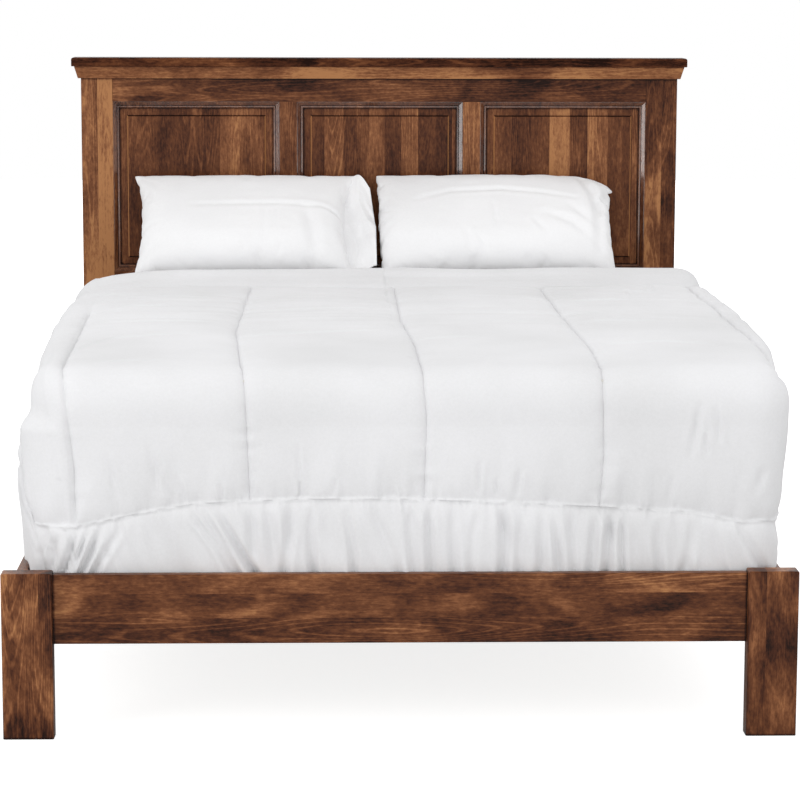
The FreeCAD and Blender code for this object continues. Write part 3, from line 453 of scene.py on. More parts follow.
def edge_quads(rim, count):
    """Four-sided faces that join the rims of two layers of count vertices each."""
    following = np.roll(rim, -1)
    return np.stack([rim, following, following + count, rim + count], -1)


def clean_faces(quads):
    """Faces without repeated vertices."""
    faces = [tuple(dict.fromkeys(quad)) for quad in quads.tolist()]
    return [face for face in faces if len(face) > 2]


def apply_modifiers(piece):
    """Puts the piece's modifiers into its mesh."""
    evaluated = piece.evaluated_get(bpy.context.evaluated_depsgraph_get())
    mesh = bpy.data.meshes.new_from_object(evaluated)
    piece.modifiers.clear()
    piece.data = mesh
    mesh.polygons.foreach_set("use_smooth", [True] * len(mesh.polygons))


def mesh_points(mesh):
    points = np.empty(len(mesh.vertices) * 3)
    mesh.vertices.foreach_get("co", points)
    return points.reshape(-1, 3)


def soft_piece(piece, body, nodes, material):
    """Gives a padded piece its material, has it ride on the named body, and hides the named nodes that it
    stands for.
    """
    piece.data.materials.clear()
    piece.data.materials.append(material)
    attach(piece, body)
    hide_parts(*nodes)


# ---- comforter

SIDE_ROUND, FOOT_ROUND = 0.075, 0.118
LEFT_PLANE = 0.791
SIDE_BULGE = 0.009
TOP_CROWN = 0.006
CROSS_STEP, LONG_STEP, DROP_STEP = 0.0038, 0.0062, 0.0044
CORNER_COLUMNS, CREST_ROWS = 26, 18
COVER_THICKNESS = 0.025
SIDE_HEM = 0.346
MATTRESS_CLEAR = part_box("mattress")[1].x + 0.0025
RAIL_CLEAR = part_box("side_rail_right")[0].x - 0.0015
RAIL_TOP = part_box("side_rail_right")[1].z + 0.004
HEAD_PUFF, HEAD_ROLL = 0.022, 0.030
LEFT_SAG, TOP_SLOPE = 0.032, 0.014
# places across of the seams on the flat cloth, and lengths of the drop that its rows are spread over
SEAM_KNOTS = [-0.35, 0.03, 0.41]
UPPER_DROP, LOWER_DROP = 0.205, 0.165
BEND_STEPS = 40
# seams along the bed: distance from the head edge over the crest, and place across
SEAM_LEFT = [(0.0, -0.717), (0.74, -0.716), (1.64, -0.704), (1.90, -0.675), (2.2, -0.672)]
SEAM_INNER_LEFT = [(0.19, -0.346), (0.70, -0.352), (1.09, -0.359), (1.56, -0.336), (1.74, -0.322),
                   (1.97, -0.313)]
SEAM_MIDDLE = [(0.19, 0.025), (0.90, 0.021), (1.32, 0.042), (1.70, 0.047), (1.79, 0.053), (1.97, 0.048)]
SEAM_RIGHT = [(0.19, 0.400), (0.89, 0.406), (1.36, 0.427), (1.72, 0.419), (1.87, 0.421), (1.98, 0.412)]
# the seam before the roll along the right side, and how far out that roll reaches
SEAM_ROLL = [(0.0, 0.764), (0.2, 0.778), (0.6, 0.790), (1.0, 0.794), (1.3, 0.786), (1.5, 0.762),
             (1.61, 0.736), (1.8, 0.716), (2.2, 0.712)]
ROLL_PLANE = [(0.0, 0.798), (0.1, 0.812), (0.25, 0.832), (0.5, 0.846), (0.7, 0.848), (1.0, 0.843),
              (1.3, 0.830), (1.55, 0.804), (1.7, 0.788)]
# the line in which the roll's dent runs on to the foot
ROLL_END = [(0.0, 0.764), (0.2, 0.778), (0.6, 0.790), (1.0, 0.794), (1.5, 0.800), (2.2, 0.812)]
SIDE_PLANE = 0.788
# how far the shoulder at the left front corner leans in, along the bed
SHOULDER = [(0.9, 0.0), (1.3, 0.10), (1.5, 0.26), (1.75, 0.40)]
LONG_SEAMS = [SEAM_LEFT, SEAM_INNER_LEFT, SEAM_MIDDLE, SEAM_RIGHT, SEAM_ROLL]
# the seam above the foot border: place across and height
FOOT_SEAM = [(-0.80, 0.420), (-0.76, 0.428), (-0.66, 0.447), (-0.54, 0.472), (-0.44, 0.487),
             (-0.21, 0.495), (0.0, 0.495), (0.17, 0.489), (0.41, 0.478), (0.61, 0.466), (0.76, 0.440),
             (0.80, 0.425)]
HEAD_SEAM = 0.215
# folds that rise from that seam: place across and height of their top and foot, depth and half width in mm
RISING_FOLDS = [
    (-0.612, 0.600, -0.585, 0.500, 4, 9), (-0.525, 0.617, -0.493, 0.501, 5, 8),
    (-0.500, 0.573, -0.482, 0.503, 4, 6), (-0.465, 0.548, -0.445, 0.482, 5, 7),
    (-0.377, 0.530, -0.367, 0.490, 4, 6), (-0.215, 0.620, -0.209, 0.503, 4, 6),
    (-0.139, 0.540, -0.139, 0.502, 4, 6), (0.163, 0.580, 0.160, 0.500, 4, 6),
    (0.197, 0.540, 0.199, 0.500, 4, 6), (0.245, 0.560, 0.240, 0.500, 4, 7),
    (0.565, 0.545, 0.555, 0.480, 3, 7), (0.620, 0.705, 0.600, 0.580, 5, 8),
    (0.650, 0.700, 0.662, 0.615, 5, 7), (0.628, 0.640, 0.636, 0.590, 4, 6),
    (0.752, 0.560, 0.735, 0.500, 5, 9),
]
# thin raised creases across the top: points across and along the bed
CREASES = [
    [(-0.717, 0.85), (-0.622, 0.72), (-0.512, 0.70)], [(-0.716, 1.01), (-0.557, 0.99), (-0.403, 0.98)],
    [(-0.720, 1.50), (-0.686, 1.38), (-0.627, 1.26), (-0.402, 1.18)],
    [(-0.647, 1.62), (-0.578, 1.58), (-0.484, 1.55)], [(-0.702, 0.57), (-0.554, 0.49), (-0.394, 0.50)],
    [(-0.759, 0.71), (-0.694, 0.59)], [(-0.742, 1.50), (-0.714, 1.46)],
    [(-0.349, 0.51), (-0.074, 0.51)], [(-0.323, 0.78), (-0.046, 0.73)],
    [(-0.349, 1.20), (-0.024, 1.15)], [(-0.763, 1.08), (-0.715, 1.02)],
    [(-0.628, 0.23), (-0.495, 0.23)], [(-0.758, 1.20), (-0.722, 1.15)], [(0.073, 0.51), (0.165, 0.45)],
    [(0.029, 1.27), (0.191, 1.25)], [(0.434, 0.99), (0.621, 0.98)],
    [(0.448, 1.33), (0.582, 1.31), (0.715, 1.37)], [(0.334, 0.54), (0.390, 0.59)],
    [(0.602, 0.37), (0.641, 0.42), (0.694, 0.37)], [(0.435, 0.62), (0.603, 0.60)],
    [(0.590, 0.60), (0.605, 0.42)], [(0.682, 0.26), (0.667, 0.44)],
]
LEFT_SIDE_SEAM, RIGHT_SIDE_SEAM = 0.61, 0.50
# how many times deeper the gathers are pressed than their table says
GATHER_GAIN = 1000 / 660
# gathers of the foot border: place across at the seam and at the rail, depth and half width in mm
GATHERS = [
    (-0.735, -0.752, 7, 6), (-0.705, -0.742, 11, 6), (-0.668, -0.728, 15, 7), (-0.640, -0.712, 8, 6),
    (-0.612, -0.700, 13, 8), (-0.575, -0.655, 6, 9), (-0.452, -0.352, 8, 7), (-0.410, -0.345, 5, 9),
    (-0.385, -0.312, 15, 9), (-0.330, -0.290, 9, 9), (-0.290, -0.262, 8, 10), (-0.236, -0.233, 7, 9),
    (-0.193, -0.185, 6, 8), (-0.110, -0.098, 7, 8), (-0.060, -0.010, 6, 10), (0.029, 0.028, 6, 9),
    (0.060, 0.067, 6, 8), (0.114, 0.112, 6, 9), (0.160, 0.150, 4, 8), (0.206, 0.212, 9, 9),
    (0.245, 0.255, 4, 8), (0.288, 0.290, 7, 9), (0.325, 0.334, 6, 8), (0.358, 0.364, 5, 8),
    (0.400, 0.392, 5, 8), (0.440, 0.423, 10, 9), (0.463, 0.467, 8, 7), (0.536, 0.540, 7, 9),
    (0.600, 0.585, 4, 9), (0.650, 0.690, 4, 9), (0.700, 0.775, 6, 9),
]


def gentle_bend():
    """Quarter turn of radius 1 that starts and ends gently: run, distance out and down, and angle."""
    share = np.linspace(0, 1, BEND_STEPS * CREST_ROWS + 1)
    angle = math.pi / 2 * (share - np.sin(2 * math.pi * share) / (2 * math.pi) * 0.85)
    step = np.diff(share, prepend=0)
    out, down = np.cumsum(np.cos(angle) * step), np.cumsum(np.sin(angle) * step)
    scale = 1 / out[-1]
    rows = slice(BEND_STEPS, None, BEND_STEPS)
    return [part[rows] for part in (share * scale, out * scale, down / down[-1], angle)]


class Cover:
    """The comforter's smooth outer surface: a flat top, and a drop round its sides and foot.

    Its grid follows the seams. across and along are the places of a vertex on the flat cloth,
    and to_border is its distance above the border seam, measured down the drop."""

    def __init__(self):
        low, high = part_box("comforter")
        self.top = high.z - TOP_CROWN
        self.head = high.y
        self.foot = low.y + SIDE_BULGE + FOOT_ROUND
        self.half = high.x - SIDE_BULGE - SIDE_ROUND
        self.hem = low.z
        self.knots = [-self.half] + SEAM_KNOTS + [self.half]
        across, along = np.meshgrid(divided(self.knots, CROSS_STEP),
                                    divided([0, HEAD_SEAM, self.head - self.foot], LONG_STEP))
        number = np.arange(across.size).reshape(across.shape)
        columns, facing = self.drop_columns(number)
        base_x, base_b = across.ravel()[columns], along.ravel()[columns]
        sideways = facing[:, 0]
        plane = np.where(sideways < 0, LEFT_PLANE, along_table(ROLL_PLANE, base_b))
        base = self.follow_seams(base_x, base_b)
        side_radius = plane - np.abs(base)
        radius = side_radius + (FOOT_ROUND - side_radius) * (1 - np.abs(sideways) ** 6)
        # down the drop, in shares of the stretch from the crest to the border seam and of that to the hem
        upper = divided([0, UPPER_DROP], DROP_STEP)[1:, None] / UPPER_DROP
        lower = divided([0, LOWER_DROP], DROP_STEP)[1:, None] / LOWER_DROP
        crest_z = self.top - radius
        seam_z, hem_z = self.seam_heights(base, sideways), self.hem_heights(facing)
        every = np.ones(len(columns))
        arc_run, arc_out, arc_down, arc_turn = [part[:, None] * every for part in gentle_bend()]
        quarter = arc_run[-1] * radius
        run = np.vstack([arc_run * radius, quarter + upper * (crest_z - seam_z),
                         quarter + crest_z - seam_z + lower * (seam_z - hem_z)])
        straight = np.ones((len(upper) + len(lower), 1))
        below = np.maximum(run - quarter, 0)
        turn = np.vstack([arc_turn, math.pi / 2 * straight * every])
        out = np.vstack([arc_out * radius, radius * straight])
        down = np.vstack([arc_down * radius, radius + below[CREST_ROWS:]])
        out += SIDE_BULGE * np.where(sideways < 0, 1 - 0.4 * sideways ** 2, 1) * np.sin(
            math.pi * np.clip(below / (crest_z - hem_z), 0, 1))
        # the left front corner slopes, and both sides hang a little inwards at the bottom
        lean = np.where(sideways < 0, along_table(SHOULDER, base_b) * np.abs(sideways), 0)
        out *= 1 - lean * fade(down, 0.085, 0.135)
        out -= np.where(sideways > 0, 0.013, 0.006) * sideways ** 2 * (1 - fade(below, 0.17, 0.27))
        run_b = base_b - facing[:, 1] * run
        x = np.where(np.abs(sideways) > 0.999, self.follow_seams(base_x, base_b), self.follow_seams(
            base_x + np.zeros_like(run), run_b))
        # below the roll the right side falls back to the mattress's line
        out -= np.where(sideways > 0, plane - SIDE_PLANE, 0) * sideways ** 2 * (1 - fade(below, 0.01, 0.17))
        self.points = np.vstack([
            np.stack([self.follow_seams(across, along).ravel(), self.head - along.ravel(),
                      np.full(across.size, self.top)], -1),
            np.stack([x + sideways * out, self.head - base_b + facing[:, 1] * out,
                      self.top - down], -1).reshape(-1, 3)])
        outward = np.sin(turn)
        self.normals = np.vstack([
            np.tile([0.0, 0.0, 1.0], (across.size, 1)),
            np.stack([sideways * outward, facing[:, 1] * outward, np.cos(turn)], -1).reshape(-1, 3)])
        top = np.zeros(across.size)
        self.across = np.concatenate([self.points[:across.size, 0], (x + sideways * run).ravel()])
        self.along = np.concatenate([along.ravel(), run_b.ravel()])
        self.drop = np.concatenate([top, run.ravel()])
        self.facing_foot = np.concatenate([top, (-facing[:, 1] + 0 * run).ravel()])
        self.facing_side = np.concatenate([top, (sideways + 0 * run).ravel()])
        self.to_border = np.concatenate([top + 9, (quarter + crest_z - seam_z - run).ravel()])
        strip = across.size + np.arange(run.size).reshape(run.shape)
        strip = np.vstack([columns, strip])
        self.quads = np.vstack([grid_quads(number), grid_quads(strip)])
        self.rim = np.concatenate([strip[:, 0][::-1], number[0, 1:-1], strip[:, -1], strip[-1, 1:-1][::-1]])

    def drop_columns(self, number):
        """Top vertices that the drop hangs from, head to foot to head, with the way that each faces."""
        left, foot, right = number[:, 0], number[-1, :], number[::-1, -1]
        turns = np.radians(90 * np.arange(1, CORNER_COLUMNS) / CORNER_COLUMNS)
        corner_left = np.stack([-np.cos(turns), -np.sin(turns)], -1)
        corner_right = np.stack([np.sin(turns), -np.cos(turns)], -1)
        columns = np.concatenate([left, np.full(len(turns), left[-1]), foot,
                                  np.full(len(turns), foot[-1]), right])
        facing = np.vstack([np.tile([-1.0, 0.0], (len(left), 1)), corner_left,
                            np.tile([0.0, -1.0], (len(foot), 1)), corner_right,
                            np.tile([1.0, 0.0], (len(right), 1))])
        return columns, facing

    def seam_heights(self, x, sideways):
        """Height of the border seam under each column: it climbs the corners to the sides."""
        side = np.where(sideways < 0, LEFT_SIDE_SEAM, RIGHT_SIDE_SEAM)
        climbing = 1 - fade(np.abs(sideways), 0.70, 0.995)
        corner = along_table(FOOT_SEAM, x + 0.04 * sideways * np.abs(sideways))
        return corner + (side - corner) * climbing

    def hem_heights(self, facing):
        """Height of the hem under each column: tucked low at the foot, higher at the sides."""
        return self.hem + (SIDE_HEM - self.hem) * (1 - fade(np.abs(facing[:, 0]), 0.78, 0.97))

    def follow_seams(self, across, along):
        """Place across of a grid point, moved so that the grid's knots lie on the seams."""
        knots = np.array(self.knots)
        index = np.clip(np.searchsorted(knots, across, "right") - 1, 0, len(knots) - 2)
        share = (across - knots[index]) / (knots[index + 1] - knots[index])
        seams = np.stack([along_table(seam, along) for seam in LONG_SEAMS])
        start = np.take_along_axis(seams, index[None], 0)[0]
        end = np.take_along_axis(seams, index[None] + 1, 0)[0]
        return start + share * (end - start)


def pucker_strength(height, reach, softened, width):
    """How strong puckers are at a distance from their seam: softened beside it, and fading further out."""
    return np.exp(-height / reach) * (1 - softened * bell(height, width))


def relief(cover):
    """How far the quilted surface stands off the smooth cover, in metres."""
    a, b, z = cover.across, cover.along, cover.points[:, 2]
    x, border = cover.points[:, 0], cover.to_border
    on_foot = np.clip(cover.facing_foot, 0, 1)
    on_drop = np.clip(cover.drop / 0.1, 0, 1)
    to_head = b - HEAD_SEAM
    inside = (border > 0) & (to_head > 0)
    above = border > 0
    # the seam at the left starts only where the ripples near the head end
    to_long = np.abs(a - along_table(SEAM_LEFT, b)) + 0.06 * fade(b, 0.35, 0.85)
    for seam in LONG_SEAMS[1:4]:
        to_long = np.minimum(to_long, np.abs(a - along_table(seam, b)))
    to_roll = np.abs(a - along_table(ROLL_END, b)) + 0.08 * (1 - fade(cover.drop, 0.08, 0.20))
    to_long = np.minimum(to_long, to_roll)
    height = np.abs(border)
    nearest = np.minimum(np.where(above, height * 0.5, height * 1.2), np.abs(to_head))
    nearest = np.where(inside, np.minimum(nearest, to_long), nearest)
    total = 0.0080 * (1 - np.exp(-nearest / 0.012)) + 0.006 * (1 - np.exp(-nearest / 0.085))
    total -= 0.0026 * bell(np.where(inside, to_long, 9.0), 0.0026)
    # the border seam is a fine raised line between puckers
    total += 0.0042 * bell(border, 0.0032)
    side_run = np.where(on_foot > 0.7, x, cover.points[:, 1])
    ripple = value_noise(side_run * 150 + border * 14, np.where(above, 1.0, 9.0) + border * 5, 11)
    total += 0.0040 * ripple * pucker_strength(height, 0.012, 0.6, 0.003) * on_drop
    ripple = value_noise(side_run * 62 + border * 9, np.where(above, 3.0, 7.0) + border * 6, 12)
    total += 0.0044 * ripple * pucker_strength(height, 0.024, 0.8, 0.006) * on_drop
    # long soft wrinkles that climb the foot drop from the seam
    climb = value_noise(x * 19 + b * 3, b * 2.2, 21) + 0.8 * value_noise(x * 46 + b * 5, b * 4, 22)
    total += 0.0044 * climb * fade(border, 0.0, 0.20) ** 1.5 * above * on_drop
    for top_x, top_z, foot_x, foot_z, depth, width in RISING_FOLDS:
        gap, fullness = near_path(x, z, [(top_x, top_z), (foot_x, foot_z)])
        offset = gap * np.sign(x - (top_x + foot_x) / 2) / (width / 1000)
        side = np.where(offset > 0, 1.0, 0.55)
        total -= depth / 1000 * side * fullness * fold_depth(offset, 0.5, 1.7) * (on_foot > 0.5)
    # small puckers along the seams that run along the bed
    fine = value_noise(b * 55, np.floor(a * 2.6) + a * 9, 31) * np.exp(-to_long / 0.016)
    total += np.where(inside, 0.0030 * fine, 0)
    # gathers of the foot border
    band = np.clip(-border / 0.15, 0, 1.3)
    gather = 0.0045 * value_noise(x * 26 + z * 8, z * 9, 42)
    gather += 0.0022 * value_noise(x * 70 + z * 20, z * 14, 43)
    for start, end, depth, width in GATHERS:
        wander = 0.010 * value_noise(z * 11 + start * 3, start * 40 + 0 * z, 41)
        centre = start + (end - start) * band + wander
        strength = np.clip(band / 0.30, 0.35, 1)
        strength *= 0.8 + 0.4 * value_noise(z * 16, start * 55 + 0 * z, 44)
        offset = (x - centre) / (width / 1000)
        gather -= GATHER_GAIN * depth / 1000 * strength * fold_depth(offset, 0.35, 1.9)
    at_corner = 4 * on_foot * np.abs(cover.facing_side)
    gather = np.maximum(gather, -0.020 + 0.008 * at_corner)
    gather *= (1 - np.exp(-height / 0.013)) * np.clip(on_foot * 1.6 - 0.2, 0, 1)
    total += np.where(above, 0, gather)
    # herringbone folds along the side borders, and the seam of a flat panel at the left front corner
    climbed = np.clip((np.abs(cover.facing_side) - 0.6) / 0.3, 0, 1)
    slant = value_noise((z - 0.35 * np.abs(border)) * 62, np.where(above, 2.0, 8.0) + 0 * z, 71)
    total += 0.0062 * slant * climbed * fade(height, 0.02, 0.11)
    panel_seam = -0.761 + 0.25 * (0.418 - z)
    total -= 0.0050 * bell(x - panel_seam, 0.0055) * fade(z, 0.405, 0.425) * (x < 0)
    # the front ends at a slit at its right edge
    total -= 0.012 * bell(cover.facing_side - 0.90, 0.040) * fade(np.abs(z - 0.60), 0.09, 0.14)
    for path in CREASES:
        gap, fullness = near_path(a, b, path)
        total += 0.0042 * fullness * bell(gap, 0.0070) * fade(cover.drop, 0.0, 0.10)
    # ripples across the bed near its head, and slow unevenness everywhere
    cross = value_noise(b * 17 + 0.6 * np.sin(a * 3), a * 1.6, 51)
    cross += 0.6 * value_noise(b * 40, a * 2.5, 52)
    total += 0.0036 * cross * fade(b, 0.75, 1.25) * fade(-b, -0.12, 0.0)
    total += 0.0035 * value_noise(a * 4 + 3, b * 3.3, 61)
    return total - 0.0065


def comforter():
    """Quilted comforter over the mattress: closed, with its underside and its edges."""
    cover = Cover()
    height = relief(cover)
    # the head edge puffs up against the pillows and rolls down to the mattress
    roll = np.clip(1 - cover.along / 0.05, 0, 1)
    puff = HEAD_PUFF * bell(cover.along - 0.07, 0.07) * fade(cover.drop, 0.05, 0.2)
    outer = cover.points + cover.normals * (height + puff)[:, None]
    outer[:, 2] -= HEAD_ROLL * (1 - np.sqrt(1 - roll ** 2)) * fade(cover.drop, 0.02, 0.12)
    inner = cover.points - cover.normals * (COVER_THICKNESS - 0.001)
    # the inside keeps clear of the mattress's sides, and the outside of the rails that it hangs between
    beside = (np.abs(cover.facing_side) > 0.9) & (cover.drop > 0.1)
    x = inner[:, 0]
    inner[:, 0] = np.where(beside, np.sign(x) * np.maximum(np.abs(x), MATTRESS_CLEAR), x)
    x = outer[:, 0]
    outer[:, 0] = np.where(outer[:, 2] < RAIL_TOP, np.clip(x, -RAIL_CLEAR, RAIL_CLEAR), x)
    # the left side slopes down towards the head, and the whole top falls a little towards the foot
    sag = LEFT_SAG * np.clip((-outer[:, 0] - 0.50) / 0.30, 0, 1) ** 2 * fade(cover.along, 0.05, 0.50)
    outer[:, 2] -= sag * fade(cover.drop, 0.05, 0.25)
    slope = TOP_SLOPE * (1 - fade(cover.along, 0.75, 1.75)) * fade(cover.drop, 0.10, 0.32)
    outer[:, 2] -= slope
    inner[:, 2] -= np.minimum(slope, 0.002)
    count = len(outer)
    quads = np.vstack([cover.quads, cover.quads[:, ::-1] + count, edge_quads(cover.rim, count)])
    return mesh_object("comforter_quilted", np.vstack([outer, inner]), clean_faces(quads))


# ---- pillows

PILLOW_LEAN = math.radians(40)
CASE_CELL = 0.009
# the flat case, and the filled pillow
CASE_WIDTH, CASE_HEIGHT = 0.70, 0.49
FILLED_HEIGHT, FILLED_THICKNESS = 0.420, 0.165
# how far the open end reaches over the filling and past its solid, and a pillow's rise above its own
END_COVER, END_REACH = 0.095, 0.010
PILLOW_RISE = 0.010
CASE_PRESSURE, CASE_FRAMES = 6.0, 11
TOP_FILLING = 0.10
BOTTOM_NARROWING = 0.05
# folds on the fronts: points from left to right and foot to head about the pillow's middle, depth, width
LEFT_FOLDS = [
    ([(-0.16, 0.020), (-0.104, 0.022), (0.077, 0.026), (0.186, 0.016), (0.240, -0.007),
      (0.268, -0.050)], 5, 8),
    ([(0.036, 0.020), (0.038, -0.060), (0.037, -0.174)], 4, 5),
    ([(0.054, 0.010), (0.056, -0.080), (0.052, -0.160)], 3, 5),
    ([(0.072, 0.015), (0.068, -0.120)], 3, 6),
    ([(0.150, 0.010), (0.164, -0.080), (0.176, -0.196)], 7, 16),
    ([(-0.315, 0.150), (-0.285, 0.100), (-0.275, 0.060)], 5, 9),
    ([(-0.300, -0.070), (-0.250, -0.050)], 4, 8),
]
RIGHT_FOLDS = [
    ([(-0.220, 0.045), (-0.128, 0.085), (0.009, 0.095), (0.118, 0.080), (0.215, 0.055)], 5, 8),
    ([(-0.012, 0.030), (-0.006, -0.050), (-0.004, -0.100)], 5, 6),
    ([(-0.090, -0.100), (-0.075, -0.165)], 5, 9),
    ([(-0.060, -0.125), (-0.030, -0.170)], 5, 8),
    ([(0.096, -0.050), (0.122, -0.105)], 5, 8),
    ([(0.130, -0.020), (0.200, -0.060), (0.250, -0.130)], 6, 14),
    ([(0.200, 0.020), (0.245, -0.050)], 5, 12),
    ([(0.240, 0.175), (0.262, 0.090), (0.272, 0.010), (0.268, -0.150)], 14, 13),
    ([(0.312, 0.120), (0.285, 0.060), (0.280, 0.000)], 9, 10),
]


def case_mesh(name, width, height, seed, corner_drop=0.0):
    """Flat two-layer pillowcase, a little apart and joined round its edge, in its own frame."""
    across, up = np.meshgrid(np.linspace(-0.5, 0.5, round(width / CASE_CELL) + 1),
                             np.linspace(-0.5, 0.5, round(height / CASE_CELL) + 1))
    inner = (np.abs(across) < 0.4999) & (np.abs(up) < 0.4999)
    front = np.arange(across.size).reshape(across.shape)
    back = front.copy()
    back[inner] = across.size + np.arange(inner.sum())
    rise = 0.012 * (1 - (2 * across) ** 2) * (1 - (2 * up) ** 2)
    rough = 0.0025 * value_noise(across * 18 + 50, up * 12 + 50, seed)
    fold = corner_drop * np.clip(across * 2, 0, 1) ** 6 * np.clip(up * 2, 0, 1) ** 2
    x, y = across * width, up * height - fold
    points = np.vstack([np.stack([x, y, rise + rough], -1).reshape(-1, 3),
                        np.stack([x, y, -rise + rough], -1)[inner]])
    quads = np.vstack([grid_quads(front)[:, ::-1], grid_quads(back)])
    return mesh_object(name, points, quads.tolist())


def inflate(piece, pressure, frames):
    """Fills a closed piece of cloth by a simulation without gravity, and keeps the result."""
    modifier = piece.modifiers.new("cloth", "CLOTH")
    settings = modifier.settings
    settings.use_pressure = True
    settings.uniform_pressure_force = pressure
    settings.effector_weights.gravity = 0
    settings.quality = 6
    settings.mass = 0.3
    settings.tension_stiffness = 40
    settings.compression_stiffness = 20
    settings.shear_stiffness = 5
    settings.bending_stiffness = 0.05
    modifier.point_cache.frame_start = 1
    modifier.point_cache.frame_end = frames
    for step in range(1, frames + 1):
        bpy.context.scene.frame_set(step)
    apply_modifiers(piece)
    bpy.context.scene.frame_set(1)


def press_folds(points, folds):
    """Presses soft fold lines into the front of a pillow, with a low ridge beside each."""
    for path, depth, width in folds:
        gap, fullness = near_path(points[:, 0], points[:, 1], path, 0.06, 0.5)
        dent = fold_depth(gap / (width / 1000), 0.4, 1.8)
        points[:, 2] -= np.where(points[:, 2] > 0.004, depth / 1000 * dent * fullness, 0)


def open_end(body_edge, hem):
    """The case's empty end beside the filling: two layers with lengthwise folds."""
    across, up = np.meshgrid(np.linspace(0, 1, 34), np.linspace(-1, 1, 80))
    x = body_edge + (hem - body_edge) * across * (1 - 0.10 * np.clip(up, 0, 1))
    top = 0.200 - 0.060 * np.clip(across / 0.3 - 2.3, 0, 1) ** 1.5
    bottom = -0.180 - 0.010 * across
    y = bottom + (top - bottom) * (up + 1) / 2 + 0.005 * value_noise(across * 5, up * 2 + 9, 84)
    facets = np.arcsin(np.sin(across * 8.5 + 1.3 * np.sin(up * 2.6) + 0.6)) / 1.57
    folds = 0.012 * facets + 0.006 * value_noise(across * 7 + up, up * 5, 82)
    front = -0.004 + 0.020 * across + folds * np.clip(across * 3 - 0.8, 0, 1)
    back = front - 0.006 - 0.010 * (1 - across)
    number = np.arange(across.size).reshape(across.shape)
    points = np.vstack([np.stack([x, y, layer], -1).reshape(-1, 3) for layer in (front, back)])
    rim = np.concatenate([number[:, 0][::-1], number[0, 1:-1], number[:, -1], number[-1, 1:-1][::-1]])
    edge = edge_quads(rim, across.size)
    return points, np.vstack([grid_quads(number)[:, ::-1], grid_quads(number) + across.size, edge[:, ::-1]])


def pillow(side, folds, seed, flap=0.0, corner_drop=0.0, pinch=(0.0, 0.0)):
    """A filled pillowcase leaning against the headboard, with the case's empty end of width flap."""
    name = f"pillow_{side}"
    low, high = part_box(name)
    width = high.x - low.x
    filled = np.array([width - flap, FILLED_HEIGHT, FILLED_THICKNESS])
    piece = case_mesh(f"{name}_case", CASE_WIDTH - flap, CASE_HEIGHT, seed, corner_drop)
    inflate(piece, CASE_PRESSURE, CASE_FRAMES)
    points = mesh_points(piece.data)
    centre = (points.min(0) + points.max(0)) / 2
    points = (points - centre) * (filled / np.ptp(points, axis=0))
    # a filling that reaches into the case's top and bottom pulls them in less; pinch draws in its sides
    half_width, half_height = filled[0] / 2, filled[1] / 2
    across, up = points[:, 0] / half_width, points[:, 1] / half_height
    drawn = np.where(across < 0, pinch[0], pinch[1])
    points[:, 0] *= 1 - drawn / half_width * (1 - up ** 2) * across ** 2
    points[:, 1] *= 1 + TOP_FILLING * (1 - across ** 2)
    points[:, 0] *= 1 - BOTTOM_NARROWING * np.clip(-up, 0, 1) ** 2
    points *= filled / np.ptp(points, axis=0)
    points[:, 0] -= flap / 2
    # the filling settles towards the bottom
    points[:, 2] *= 0.92 - 1.9 * np.clip(points[:, 1], -0.10, 0.21)
    press_folds(points, folds)
    quads = [tuple(face.vertices) for face in piece.data.polygons]
    bpy.data.objects.remove(piece)
    if flap:
        end_points, end_quads = open_end(width / 2 - flap - END_COVER, width / 2 + END_REACH)
        quads += [tuple(quad) for quad in (end_quads + len(points)).tolist()]
        points = np.vstack([points, end_points])
    x, y, z = points.T
    sine, cosine = math.sin(PILLOW_LEAN), math.cos(PILLOW_LEAN)
    turned = np.stack([x, y * cosine - z * sine, y * sine + z * cosine], -1)
    # it stays within its solid's depth, and rises only a little above it
    turned[:, 2] *= min(1.0, (high.z + PILLOW_RISE - low.z) / np.ptp(turned[:, 2]))
    turned[:, 1] *= min(1.0, (high.y - low.y) / np.ptp(turned[:, 1]))
    middle = (turned.min(0) + turned.max(0)) / 2
    place = np.array([(low.x + high.x) / 2, (low.y + high.y) / 2, low.z])
    turned += place - [0, middle[1], turned[:, 2].min()]
    piece = mesh_object(f"{name}_case", turned, quads)
    piece.modifiers.new("smooth", "SUBSURF").levels = 1
    apply_modifiers(piece)
    return piece


# ---- mattress and box spring

PIPING = 0.0045
# how far in from the sides, top and bottom the piping runs, as a share of the block's edge
PIPING_INSET = 0.30
QUILT_PITCH = 0.21
BLOCK_CELL = 0.0125
# where the two sewn lines run round a quilted block, in half heights from its middle
SEWN_LINES = (-0.33, 0.33)


def block_outline(low, high, corner, inset=0.0, step=8):
    """Points round a block seen from above, with round corners."""
    points = []
    middle = [(high.x, high.y, 0), (low.x, high.y, 90), (low.x, low.y, 180), (high.x, low.y, 270)]
    for x, y, start in middle:
        centre_x = x - math.copysign(corner, x - (low.x + high.x) / 2)
        centre_y = y - math.copysign(corner, y - (low.y + high.y) / 2)
        for turn in range(step + 1):
            angle = math.radians(start + 90 * turn / step)
            points.append((centre_x + (corner - inset) * math.cos(angle),
                           centre_y + (corner - inset) * math.sin(angle)))
    return points


def piping(name, outline, height, radius):
    """A round cord sewn along an outline."""
    curve = bpy.data.curves.new(name, "CURVE")
    curve.dimensions = "3D"
    curve.bevel_depth = radius
    curve.bevel_resolution = 3
    spline = curve.splines.new("POLY")
    spline.points.add(len(outline) - 1)
    for point, (x, y) in zip(spline.points, outline):
        point.co = (x, y, height, 1)
    spline.use_cyclic_u = True
    cord = add_object(name, curve)
    mesh = bpy.data.meshes.new_from_object(cord.evaluated_get(bpy.context.evaluated_depsgraph_get()))
    bpy.data.objects.remove(cord)
    return mesh


